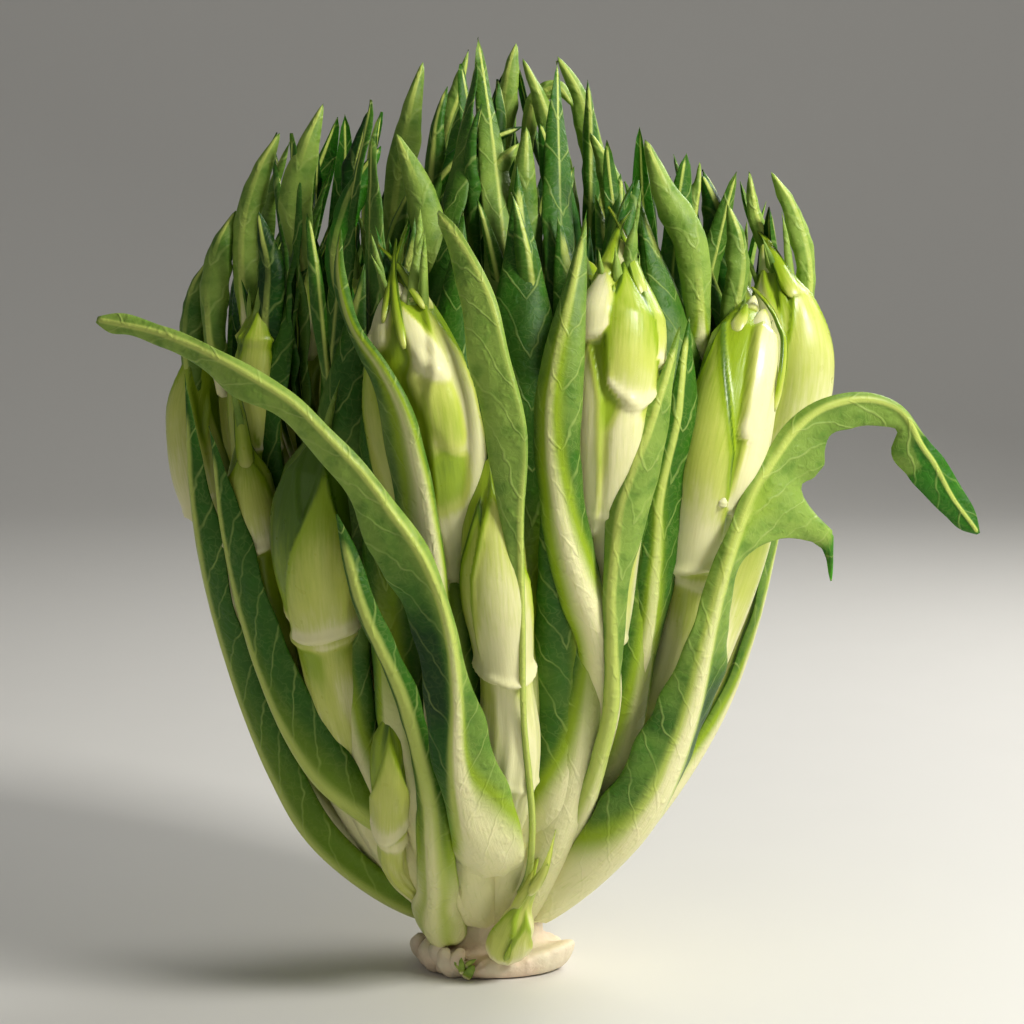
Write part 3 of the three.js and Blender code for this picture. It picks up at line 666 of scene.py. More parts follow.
frontLeaves = {
    "leaf_big_left": {
        "thick": (8, 5, 2.0, 0.9, 0.6, 0.5), "rib": (8, 7, 4.5, 2.4, 1.6, 1.3, 1.2, 1.1, 1.0, 0.8),
        "ribHigh": (0.6, 1.0, 1.6, 1.6, 0.9, 0.7, 0.5), "cup": (0.9, 0.5, 0.4, 0.4, 0.5, 0.6),
        "wave": (0, 0.8, 1.4, 1.6, 1.4, 0.8), "ruffles": 5, "teeth": 0.08, "crease": 0.8, "uneven": 0.2,
        "shift": ((0, 0), (0.15, -1.5), (0.23, -5.4), (0.31, -5), (0.385, -1), (0.46, 2), (0.54, 2),
            (0.615, -1), (0.69, -2), (0.77, 1.5), (0.85, 3), (0.92, 2.6), (1, -1)), "leftEdge": ((0, 7),
            (0.08, 10), (0.15, 10), (0.2, 7), (0.23, 6), (0.31, 8.5), (0.385, 10), (0.46, 11.5),
            (0.54, 13.5), (0.58, 12.5), (0.615, 10), (0.69, 7.5), (0.77, 6.5), (0.82, 8), (0.86, 5.5),
            (0.92, 4.3), (0.96, 3), (0.985, 3.2), (1, 1)), "rightEdge": ((0, 7), (0.08, 11), (0.15, 14),
            (0.19, 15.5), (0.23, 15), (0.27, 12.5), (0.31, 10.5), (0.35, 8), (0.385, 5), (0.42, 2.8),
            (0.46, 2.4), (0.6, 2.4), (0.8, 2.2), (0.92, 2.4), (0.985, 2.5), (1, 1)),
        # the next entry paints shade on the wings that turn from the light
        "dark": ((0.42, -1, 0.15, 1.0), (0.31, -1, 0.1, 0.5), (0.33, 1, 0.07, 0.35)), "white": 0.21,
        "tone": 0.85, "tipLength": 0.01, "sink": -9, "across": 26, "seed": 3,
    },
    "leaf_big_right": {
        "thick": (9, 7, 3.0, 1.6, 0.8, 0.5), "rib": (13, 11, 8.5, 6.0, 4.0, 2.6, 2.0, 1.7, 1.2, 0.8, 0.6),
        "ribHigh": (1.5, 2.5, 3.0, 2.6, 2.0, 1.4, 1.2, 0.9, 0.5),
        "cup": (1.1, 0.8, 0.6, 0.4, 0.3, 0.3, 0.5), "wave": (0, 0.8, 1.8, 1.6, 1.8, 1.4, 1.0), "ruffles": 6,
        "teeth": 0.1, "toothCount": 13, "uneven": 0.25, "shift": ((0, 0), (0.46, 0), (0.54, -3.5),
            (0.615, -7.3), (0.69, -11), (0.77, -13.5), (0.8, -12), (0.83, -8.5), (0.86, -3.5), (0.9, -1.5),
            (1, 0)), "leftEdge": ((0, 5), (0.08, 9), (0.15, 13), (0.25, 14), (0.35, 13), (0.42, 9),
            (0.5, 5), (0.56, 3.6), (0.62, 3), (0.7, 2.6), (0.8, 2.2), (0.845, 1.8), (0.87, 3), (0.91, 4.4),
            (0.95, 4), (0.98, 3), (1, 0.5)), "rightEdge": ((0, 6), (0.08, 10), (0.15, 13), (0.23, 14),
            (0.31, 14), (0.38, 15), (0.43, 14), (0.48, 10), (0.53, 6.5), (0.565, 5.5), (0.594, 7.5),
            (0.615, 12.5), (0.63, 19), (0.641, 29), (0.649, 40), (0.658, 44), (0.668, 40), (0.677, 27),
            (0.687, 18), (0.695, 14), (0.713, 15), (0.736, 15.5), (0.75, 11.5), (0.76, 9), (0.795, 9),
            (0.814, 8), (0.835, 6), (0.85, 4.5), (0.858, 8), (0.89, 9.5), (0.923, 7), (0.958, 5),
            (0.985, 3.4), (1, 0.5)), "hang": 31, "turned": (0.855, 0.868),
        # the next entry paints shade on the wings that turn from the light
        "dark": ((0.36, 1, 0.1, 0.8), (0.3, -1, 0.12, 0.5)), "white": 0.26, "tone": 0.7, "tipLength": 0.01,
        "across": 30, "seed": 8,
    },
    "leaf_middle": {
        "widen": 1.3, "thick": (4, 2.5, 1.0, 0.6), "rib": (4, 3.4, 1.8, 1.2, 0.8),
        "ribHigh": (1.5, 1.6, 1.2, 0.8), "aside": (0, 0.1, -0.3, -0.5, -0.2),
        "cup": (1.2, 1.0, 1.0, 1.1, 0.8), "white": 0.16, "tone": 0.7, "left": (1, 0.7, 0.6, 0.9, 1.1, 1.1),
        "right": (1, 0.7, 0.6, 0.9, 1.1, 1.1), "seed": 12,
    },
    "leaf_curled": {
        "widen": 1.35, "thick": (5, 3.5, 1.5, 0.6), "rib": (5, 5, 3.4, 2.0, 1.2),
        "ribHigh": (1.5, 2.0, 2.2, 1.4, 0.6), "aside": (0, 0.2, 0.5, 0.5, 0.3), "cup": (1.6, 1.5, 1.3, 1.1),
        "left": (1, 1, 1.3, 1.2, 1), "white": 0.34, "tone": 0.25, "seed": 15,
    },
    "leaf_clasp_right": {
        "widen": 1.7, "thick": (4, 2.4, 1.0, 0.5, 0.4), "rib": (5, 5.5, 4, 2.0, 1.2, 0.9),
        "ribHigh": (1.5, 2.4, 2.0, 1.2, 0.7), "aside": (0, 0, -0.15, -0.3, 0.0),
        "cup": (1.5, 1.4, 1.3, 1.1, 0.9), "left": (1, 1, 1.1, 1.1, 1), "twist": (0, 0, -5, 10, 35),
        "white": 0.38, "tone": 0.45, "seed": 17,
    },
    "leaf_beside": {
        "thick": (1.5, 1.2, 0.8, 0.5), "rib": (1.0, 0.9, 0.9, 1.0, 0.8), "ribHigh": (0.6, 0.7, 0.7, 0.5),
        "cup": (0.9, 0.7, 0.6, 0.6), "white": 0.05, "tone": 0.9, "wave": (0, 0.4, 0.8, 0.6), "stalk": 0.3,
        "shift": ((0, 0), (0.21, -3), (0.36, -5), (0.5, -2), (0.636, 0.6), (0.72, 3.5), (0.8, 3.6),
            (0.877, 5), (0.93, 4), (1, 1)), "leftEdge": ((0, 1.4), (0.3, 1.1), (0.5, 1.6), (0.6, 4.5),
            (0.65, 8), (0.72, 11), (0.8, 11), (0.877, 9.5), (0.93, 6.5), (0.97, 3.6), (0.99, 2.2),
            (1, 0.5)), "rightEdge": ((0, 1.4), (0.3, 1.1), (0.6, 1.2), (0.8, 1.5), (0.93, 1.8), (0.98, 1.6),
            (1, 0.4)), "seed": 21,
    },
    "leaf_clasp_left": {
        "thick": (3.5, 2.0, 1.0, 0.5), "rib": (4, 4, 3.2, 2.4, 1.6, 1.2),
        "ribHigh": (1.5, 2.0, 1.6, 1.0, 0.8), "cup": (1.3, 1.1, 0.9, 0.7), "white": 0.42, "tone": 0.35,
        "wave": (0, 0.4, 0.8, 0.6), "shift": ((0, 0), (0.45, 3), (0.555, 3.2), (0.622, 3.2), (0.686, 4.6),
            (0.733, 6), (0.8, 4.4), (0.856, 0.5), (0.93, -1), (1, 0)), "leftEdge": ((0, 4), (0.2, 5),
            (0.45, 8), (0.555, 11), (0.65, 12), (0.733, 10.5), (0.8, 7), (0.86, 3.6), (0.93, 3.4),
            (0.98, 2), (1, 0.4)), "rightEdge": ((0, 4), (0.3, 3.8), (0.5, 3.6), (0.6, 3.0), (0.686, 2.4),
            (0.8, 1.7), (0.86, 1.5), (0.93, 1.6), (1, 0.4)), "seed": 24,
    },
    "leaf_between": {
        "widen": 1.5, "thick": (4, 2.5, 0.8, 0.5), "rib": (6, 6, 2.4, 1.2, 0.9),
        "ribHigh": (1.5, 1.8, 1.2, 0.8), "aside": (0, 0, -0.3, -0.5), "cup": (1.4, 1.2, 0.8, 0.7),
        "white": 0.3, "tone": 0.12, "left": (1, 1, 0.8, 0.9, 1.0), "right": (1, 1, 1.1, 1.9, 2.0, 1.5),
        "seed": 27,
    },
    # the three side leaves' low tone, and the outer two's low bleach, are painted shade: they darken these
    # leaves on the left, away from the key light
    "leaf_side_outer": {
        "widen": 1.5, "thick": (5, 3.5, 1.2, 0.6), "rib": (6, 5, 2.5, 1.4), "ribHigh": (1.5, 2, 1.6, 1.0),
        "cup": (1.3, 1.1, 1.0, 0.8), "white": 0.4, "bleach": 0.2, "tone": -0.1,
        "right": (1, 1.4, 1.5, 1.3, 1), "seed": 31,
    },
    "leaf_side_middle": {
        "widen": 1.5, "thick": (5, 3.5, 1.2, 0.6), "rib": (6, 5, 2.4, 1.3), "ribHigh": (1.5, 2, 1.6, 1.0),
        "aside": (0, -0.2, -0.3, -0.1), "cup": (1.3, 1.1, 0.9, 0.7), "white": 0.4, "bleach": 0.25,
        "tone": -0.05, "right": (1, 1.3, 1.6, 1.4, 1), "seed": 33,
    },
    "leaf_side_inner": {
        "thick": (6, 3.5, 1.2, 0.6), "rib": (8, 3.0, 1.8, 1.4), "ribHigh": (0.8, 1.0, 1.6, 1.0),
        "cup": (1.3, 1.2, 1.0, 0.8), "white": 0.3, "bleach": 0.8, "tone": 0.0, "ridges": (3, 0.9),
        "crease": 0.9, "sink": 5, "shift": ((0, -7), (0.05, -7), (0.1, -4.5), (0.2, 1), (0.3, 3.4),
            (0.4, 4), (0.5, 3), (0.6, 1.2), (0.7, 0), (0.8, -1.8), (1, -2)), "leftEdge": ((0, 7.5),
            (0.03, 9.6), (0.07, 9.8), (0.095, 8.8), (0.115, 7.2), (0.2, 7.2), (0.36, 6.6), (0.46, 5.6),
            (0.55, 4.6), (0.7, 4.2), (0.9, 3.4), (1, 0.6)), "rightEdge": ((0, 7.5), (0.03, 9.6),
            (0.07, 9.8), (0.095, 8.8), (0.115, 7.4), (0.2, 7.2), (0.36, 6.6), (0.46, 5.8), (0.55, 4.8),
            (0.7, 4.4), (0.9, 3.4), (1, 0.6)), "seed": 36,
    },
}


def buildLeaf(node, look, steps, shape=None):
    # a leaf along its solid's line; a shape gives its half-width as shares of the solid's widest
    spine = nodeSpine(node, steps)
    if shape:
        spine["wide"] = spine["wide"].max() * evenly(shape, spine["at"])
    return buildPiece(plain(node), [leafSkin(spine, look)], node)


for node, look in frontLeaves.items():
    buildLeaf(node, look, 200 if "big" in node else 90)
print("front leaves grown:", len(frontLeaves))

# ranges to pick from, then what the broad back leaves and the narrow top and heart leaves are like
restLeaf = {
    "widen": (0.75, 1.0), "tone": (0.0, 0.6), "cup": (0.3, 0.9), "aside": (-0.3, 0.3), "twist": (-60, 60),
    "sway": (-11, 11),  # how far a top leaf's tip bends to one side, mm
    "tipLength": (0.16, 0.26), "tipShape": (0.5, 0.62), "ruffles": (2, 5),
    "shape": (0.35, 0.5, 0.75, 0.95, 1.0, 0.9),  # half-width of a top leaf as a share of its widest
    "back": {"white": 0.26, "rib": (5, 3, 1.2, 0.8), "ribHigh": (1.5, 1.4, 0.8, 0.4),
             "thick": (5, 2.5, 0.8, 0.5), "tipLength": 0.22},
    "top": {"white": 0.14, "rib": (1.6, 0.9, 0.6, 0.4), "ribHigh": (1.0, 0.8, 0.5, 0.3),
            "thick": (2, 1, 0.5, 0.4)},
    "all": {"wave": (0, 1.0, 1.6, 1.0), "pucker": 0.3, "uneven": 0.2},
}


def buildRestLeaves():
    # the back, top and heart leaves differ by their seed: each takes its own width, tone, cup, rib and
    # twist. A back leaf is wider and twists half as much, and a top leaf sways to one side and back to
    # the other
    rest = [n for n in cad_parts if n.startswith("leaf_") and n not in frontLeaves]
    for count, node in enumerate(rest):
        rng = np.random.default_rng(500 + count)
        picked = ("widen", "tone", "cup", "aside", "twist", "sway")
        pick = {key: rng.uniform(*restLeaf[key]) for key in picked}
        back, sway = "back" in node, pick["sway"]
        look = {
            **restLeaf["all"], **restLeaf["back" if back else "top"],
            "widen": pick["widen"] + (0.3 if back else 0), "tone": pick["tone"], "seed": 600 + count,
            "cup": (1.4, pick["cup"], pick["cup"] * 0.8, 0.5), "aside": (0, pick["aside"], pick["aside"]),
            "twist": (0, 0, pick["twist"] * (0.5 if back else 1)),
        }
        if not back:
            look["tipLength"] = rng.uniform(*restLeaf["tipLength"])
            look["shift"] = ((0, 0), (0.4, -0.4 * sway), (0.7, 0), (0.9, 0.6 * sway), (1, sway))
        look["tipShape"] = rng.uniform(*restLeaf["tipShape"])
        look["ruffles"] = rng.uniform(*restLeaf["ruffles"])
        buildLeaf(node, look, 90 if back else 60, None if back else restLeaf["shape"])
    return len(rest)


print("back and top leaves grown:", buildRestLeaves())


# shoots: a jointed stem that swells into a bulb, wrapped in bracts, with buds and free straps on it and
# strands rising from its head

# heights are in mm above the cut, degrees go round the shoot to the right from the side that shows from the
# front, and a list runs from foot to tip
shootHabit = {
    "widen": 1.06,
    "rings": (100, 140), "step": 0.9,  # heights of the joints, and how far each steps out
    "ribs": 12, "ribHigh": 0.18,  # fine ribs round the stem
    "green": (0.0, 0.0, 0.15, 0.35, 0.5),  # 0 cream, 0.5 yellow-green, 1 green
    "bracts": (), "buds": (), "straps": (), "strands": 5, "strandLength": 34,
    "close": 0.08,  # share of its length over which its head closes
    "around": 112, "steps": 200, "seed": 1,
}

# a bract that wraps the shoot
wrapHabit = {
    "from": 100, "to": 200,  # heights of its foot and its tip
    "round": (0, 0),  # degrees at those two
    "wide": (9, 11, 9, 6, 3),  # half-width in mm
    "high": (1.0, 2.0, 1.8, 1.2, 0.8),  # how far its middle stands out
    "edge": 0.45, "rimHigh": 0.5,  # thickness at its margins, and height of the ridge along them
    "blunt": 0.35,  # share of its length over which the tip closes
    "green": (0.0, 0.05, 0.2, 0.4, 0.7), "rims": 0.45,  # tint along it, and how much greener its margins are
    "collar": 0.7,  # how far its swollen foot stands out
    "bow": 2.0,  # how far its foot's sides rise, mm
    "soft": 0.0,  # mm over which a mere swelling dies away; it is added to what lies under it
}

# a mere swelling has no margins and no collar
softHabit = {"edge": 0.0, "rimHigh": 0, "rims": 0.0, "collar": 0.0}


def wrapBract(heights, turn, girth, bract):
    # heights and turn say where a corner is, up and round, and girth is the shoot's radius there. u runs
    # from 0 at the foot to 1 at the tip, less bow at the sides, and s from -1 to 1 across the bract:
    # degrees off its middle line, times girth, over its half-width. It lifts the shoot by high * sqrt(1 -
    # s^2) + edge + a ridge near its margin, and by a collar at its foot; soft widens the slopes at its
    # margins
    look = {**wrapHabit, **(softHabit if "soft" in bract else {}), **bract}
    long = look["to"] - look["from"]
    u = (heights - look["from"] + 1.5 * np.sin(turn * 2 + look["from"])) / long
    t = np.clip(u, 0, 1)
    tip = np.clip((1 - t) / look["blunt"], 0, 1) ** 0.75
    half = np.maximum(evenly(look["wide"], t) * tip, 0.05)
    off = (np.degrees(turn) - mixed(*look["round"], t) + 180) % 360 - 180
    s = np.radians(off) * girth / half
    inside = half * (1 - np.abs(s))  # mm from its margin
    u = u - look["bow"] * np.clip(s * s, 0, 1.5) / long * (1 - t)
    soft = look["soft"]
    on = blend(0, (2.2 + 2 * soft) / long, u) * blend(0, (1 + soft) / long, 1 - u)
    on = on * blend(-0.5, 0.9 + soft, inside)
    rim = look["rimHigh"] * bell((inside - 1.0) / 1.0) * blend(0.03, 0.2, t)
    dome = np.sqrt(np.clip(1 - s * s, 0, 1))
    collar = look["collar"] * bell((u * long - 1.8) / 1.9)
    lift = on * (evenly(look["high"], t) * dome * tip ** 0.6 + look["edge"] + rim + collar)
    tint = evenly(look["green"], t) - 0.45 * bell((u * long - 2.0) / 2.4)
    margins = 0.4 * np.abs(s) ** 2 + 0.9 * bell((inside - 0.6) / 1.2)
    tint = tint + look["rims"] * margins * blend(-0.1, 0.45, t)
    return lift, tint, on


def shootSkin(spine, look):
    # a is 0 where the shoot faces out and grows to the right; a section is the oval x = wide sin a, y =
    # deep cos a, and the head closes as sqrt((1 - v) / close). Each joint adds step * (exp(-d^2) + a
    # shoulder that dies away above it), where d is the distance from it, and the stem adds ribHigh *
    # cos(ribs a). The highest of the bracts at each corner lifts it, and a soft one is added to what lies
    # under it
    v = spine["at"][:, None]
    a = np.linspace(0, 2 * np.pi, look["around"], endpoint=False)[None, :]
    heights = spine["centre"][:, 2:3] / mm
    closing = np.clip((1 - v) / look["close"], 0, 1) ** 0.5 * np.clip(v / 0.02, 0, 1) ** 0.5
    swell = 0.35 * waver(v + 0.2 * np.cos(a), look["seed"] + 3, 2.2)
    ringed = np.zeros_like(swell)
    for count, height in enumerate(look["rings"]):
        d = heights - height - 1.2 * np.cos(a - 1.9 * count - look["seed"])
        shoulder = blend(-0.8, 1.2, d) * np.exp(-np.clip(d, 0, None) / 16)
        swell += look["step"] * (0.9 * bell(d / 1.3) + shoulder)
        ringed += bell((d - 0.8) / 2.0)
    stem = 1 - blend(0.25, 0.7, v)
    swell += look["ribHigh"] * np.cos(look["ribs"] * a + 1.5 * waver(v, look["seed"], 1)) * stem
    tint = evenly(look["green"], spine["at"])[:, None]
    tint = tint + 0.2 * waver(v + np.sin(a) * 0.3, look["seed"] + 9, 1.7)
    tint = tint - 0.4 * ringed + 0.4 * blend(0.4, 0.7, v)
    front = np.arctan2(-spine["across"][:, 1], -spine["out"][:, 1])[:, None]
    girth = spine["wide"][:, None] * look["widen"] / mm
    lifted = np.zeros_like(swell)
    for bract in look["bracts"]:
        lift, green, on = wrapBract(heights, a - front, girth, bract)
        soft = "soft" in bract
        tint = mixed(tint, green, on if soft else on * blend(-0.35, 0.25, lift - lifted))
        lifted = lifted + lift if soft else np.maximum(lifted, lift)
    swell += lifted
    wide = spine["wide"][:, None] * look["widen"] + swell * mm
    deep = spine["deep"][:, None] * look["widen"] + swell * mm
    x, y = wide * np.sin(a) * closing, deep * np.cos(a) * closing
    return {
        "points": spine["centre"][:, None] + spine["across"][:, None] * x[..., None]
        + spine["out"][:, None] * y[..., None],
        "material": "shoot", "green": np.clip(tint, 0, 1.2), "across": a * 1.2 + 0 * v,
        "up": v * spine["run"][-1] * 100 + 0 * a,
    }


# a bud on a shoot's head
budHabit = {
    "at": 215, "round": 0,  # height of its middle, and degrees
    "long": 9, "wide": 3.0,  # length and half-width in mm
    "sunk": 0.45,  # share of its half-width that lies in the shoot
    "lean": 0.0,  # to the right, as a share of its length
    "foot": 0.22, "peak": 0.62,  # shares of its length over which its foot and its tip close
    "green": (0.35, 0.15, 0.1, 0.3, 0.6), "around": 20, "steps": 22,
}


def budSkin(spine, look):
    # turned about a short line on the shoot's side: its half-width is wide * (the lesser of v / foot and
    # (1 - v) / peak, at most 1)^0.6, and the straight line follows the shoot's slope at that height
    look = {**budHabit, **look}
    place = np.interp(look["at"], spine["centre"][:, 2] / mm, spine["at"])
    spot, away = besideSpine(spine, place, look["round"], look["wide"] * mm * (0.2 - look["sunk"]))
    rise = unit(smoothAt(spine["at"], spine["tangent"], place))[None]
    sideways = np.cross(rise, away)
    way = unit(rise + look["lean"] * sideways)
    part = np.linspace(-0.5, 0.5, 6)[:, None]
    line = pathSpine(spot + way * part * look["long"] * mm, away[0], (1.0, 1.0), look["steps"])
    v = line["at"][:, None]
    a = np.linspace(0, 2 * np.pi, look["around"], endpoint=False)[None, :]
    ends = np.minimum(np.clip(v / look["foot"], 0, 1), np.clip((1 - v) / look["peak"], 0, 1))
    w = look["wide"] * mm * ends ** 0.6
    w = w * (1 + 0.05 * np.cos(3 * a + look["at"]) + 0.05 * waver(v, look["at"], 1))
    return {
        "points": line["centre"][:, None] + line["across"][:, None] * (w * np.sin(a))[..., None]
        + line["out"][:, None] * (w * np.cos(a) * 0.8)[..., None],
        "material": "shoot", "green": evenly(look["green"], line["at"])[:, None] + 0.15 * np.cos(2 * a),
        "across": a * 0.4 + 0 * v, "up": v * look["long"] * 0.1 + 0 * a,
    }


# a bract that stands free of the shoot for a part of its length
bractHabit = {
    "from": 100, "to": 200,  # heights of its foot and of the place where it leaves the shoot
    "round": (0, 0),  # degrees at those two
    "lift": (0.0, 0.4, 0.4),  # how far it stands off the shoot
    "wide": (8, 9, 6, 3, 1.2),  # half-width, its free end included
    "high": (2.5, 3.5, 2.5, 1.2, 0.8),  # how far it swells
    "hug": 1.0,  # 1 where its margins lie on the shoot, less where they stand off
    "free": 14, "lean": (0.15, 0.0),  # length of the free end, and its lean outward and to the right
    "green": (0.0, 0.05, 0.2, 0.45, 0.85), "rims": 0.5,  # tint along it, and how much greener its margins are
    "rimHigh": 0.45,  # height of the ridge along its margins
    "foot": 0.12, "blunt": 0.45,  # shares of its length over which the foot and the tip close
    "around": 14, "steps": 36,
}


def bractSkin(spine, look):
    # it climbs the shoot's side between its two heights, then runs free with a lean. Across it, s from -1
    # to 1 lies on an arc that turns by half-width over the shoot's radius, so that its margins lie on the
    # shoot; the outer face swells by high * (1 - s^2)^0.6 and the inner by a third of that, and a low
    # ridge follows each margin
    look = {**bractHabit, **look}
    heights = spine["centre"][:, 2] / mm
    ends = np.interp([look["from"], look["to"]], heights, spine["at"])
    t = np.linspace(0, 1, 8)
    lift = evenly(look["lift"], t) * mm
    spot, away = besideSpine(spine, mixed(ends[0], ends[1], t), evenly(look["round"], t), lift)
    if look["free"]:
        rise = unit(spot[-1] - spot[-2])
        sideways = np.cross(rise, away[-1])
        part = np.array([[0.3], [0.65], [1.0]])
        way = unit(rise + (away[-1] * look["lean"][0] + sideways * look["lean"][1]) * part * 2)
        spot = np.concatenate([spot, spot[-1] + part * look["free"] * mm * way])
        away = np.concatenate([away, np.repeat(away[-1:], 3, axis=0)])
    line = pathSpine(spot, away, np.array(look["wide"]) * mm, look["steps"])
    v = line["at"][:, None]
    half = np.sin(np.linspace(-1, 1, look["around"]) * np.pi / 2)
    s = np.concatenate([half, half[::-1]])[None, :]
    face = np.repeat([1.0, -0.33], look["around"])[None, :]
    footEnd = np.clip(v / look["foot"], 0.0, 1) ** 0.5
    tipEnd = np.clip((1 - v) / look["blunt"], 0, 1) ** 0.7
    w = line["wide"][:, None] * (0.35 + 0.65 * footEnd) * (0.15 + 0.85 * tipEnd)
    w = w * np.clip((1 - v) / 0.02, 0.1, 1)
    near = np.interp(mixed(*ends, line["at"]), spine["at"], spine["wide"])
    freed = blend(0.6, 1.0, line["at"]) if look["free"] else 0 * line["at"]
    cup = np.clip(look["hug"] * w / near[:, None] * 0.95, 0.15, 2.0) * (1 - 0.6 * freed[:, None])
    high = evenly(look["high"], line["at"])[:, None] * mm * footEnd * tipEnd
    rim = look["rimHigh"] * mm * bell((np.abs(s) - 0.9) / 0.07) * footEnd * blend(0.08, 0.3, v)
    lift = face * (high * np.clip(1 - s * s, 0, 1) ** 0.6 + 0.25 * mm) + rim * (face > 0)
    x = w / cup * np.sin(s * cup) + lift * np.sin(s * cup)
    y = -w / cup * (1 - np.cos(s * cup)) + lift * np.cos(s * cup)
    tint = evenly(look["green"], line["at"])[:, None]
    margins = np.abs(s) ** 1.6 + 0.8 * bell((np.abs(s) - 0.9) / 0.08)
    tint = tint + look["rims"] * margins * blend(-0.1, 0.5, v)
    tint = tint - 0.12 * bell((v - 0.05) / 0.05)
    return {
        "points": line["centre"][:, None] + line["across"][:, None] * x[..., None]
        + line["out"][:, None] * y[..., None],
        "material": "shoot", "green": np.clip(tint, 0, 1.2), "across": s * w * 100,
        "up": v * line["run"][-1] * 100 + 0 * s,
    }


# a narrow leaflet, for the strands on a shoot's head and other small leaves
strandHabit = {
    **leafHabit, "pucker": 0.0, "crease": 0.0, "thick": (0.8, 0.5, 0.3), "rib": (0.8, 0.6, 0.4), "teeth": 0.0,
    "ribHigh": (0.5, 0.4, 0.2), "cup": (1.0, 0.9, 0.6), "wave": (0, 0.2, 0.2), "white": 0.05, "across": 4,
    "widen": 1.0, "tipLength": 0.3,
}
strandWide = (0.9, 1.5, 1.7, 1.3, 0.6)  # a strand's half-width from foot to tip, mm


def strandSkins(spine, count, length, seed):
    # narrow leaflets from round the head: each runs up, leaning out by a random part of its length
    skins = []
    rng = np.random.default_rng(seed)
    for i in range(count):
        turn = 360 * (i + rng.uniform(-0.3, 0.3)) / count
        foot, away = besideSpine(spine, rng.uniform(0.84, 0.92), turn, 0.0, rng.uniform(0.25, 0.6))
        rise = unit(spine["tangent"][-12] + [0, 0, 0.8])
        long = length * rng.uniform(0.6, 1.15) * mm
        part = np.linspace(0, 1, 6)[:, None]
        lean = rng.uniform(-0.15, 0.25) * away + rng.uniform(-0.2, 0.2) * np.cross(rise, away)
        points = foot + rise * part * long + lean * part ** 2 * long
        points[:, 2] = np.minimum(points[:, 2], headTop - 0.001)
        line = pathSpine(points, away[0], np.array(strandWide) * mm * rng.uniform(0.7, 1.3), 16)
        leaf = {"tone": rng.uniform(0.5, 1.1), "seed": int(rng.integers(9999))}
        skins.append(leafSkin(line, leaf, strandHabit))
    return skins


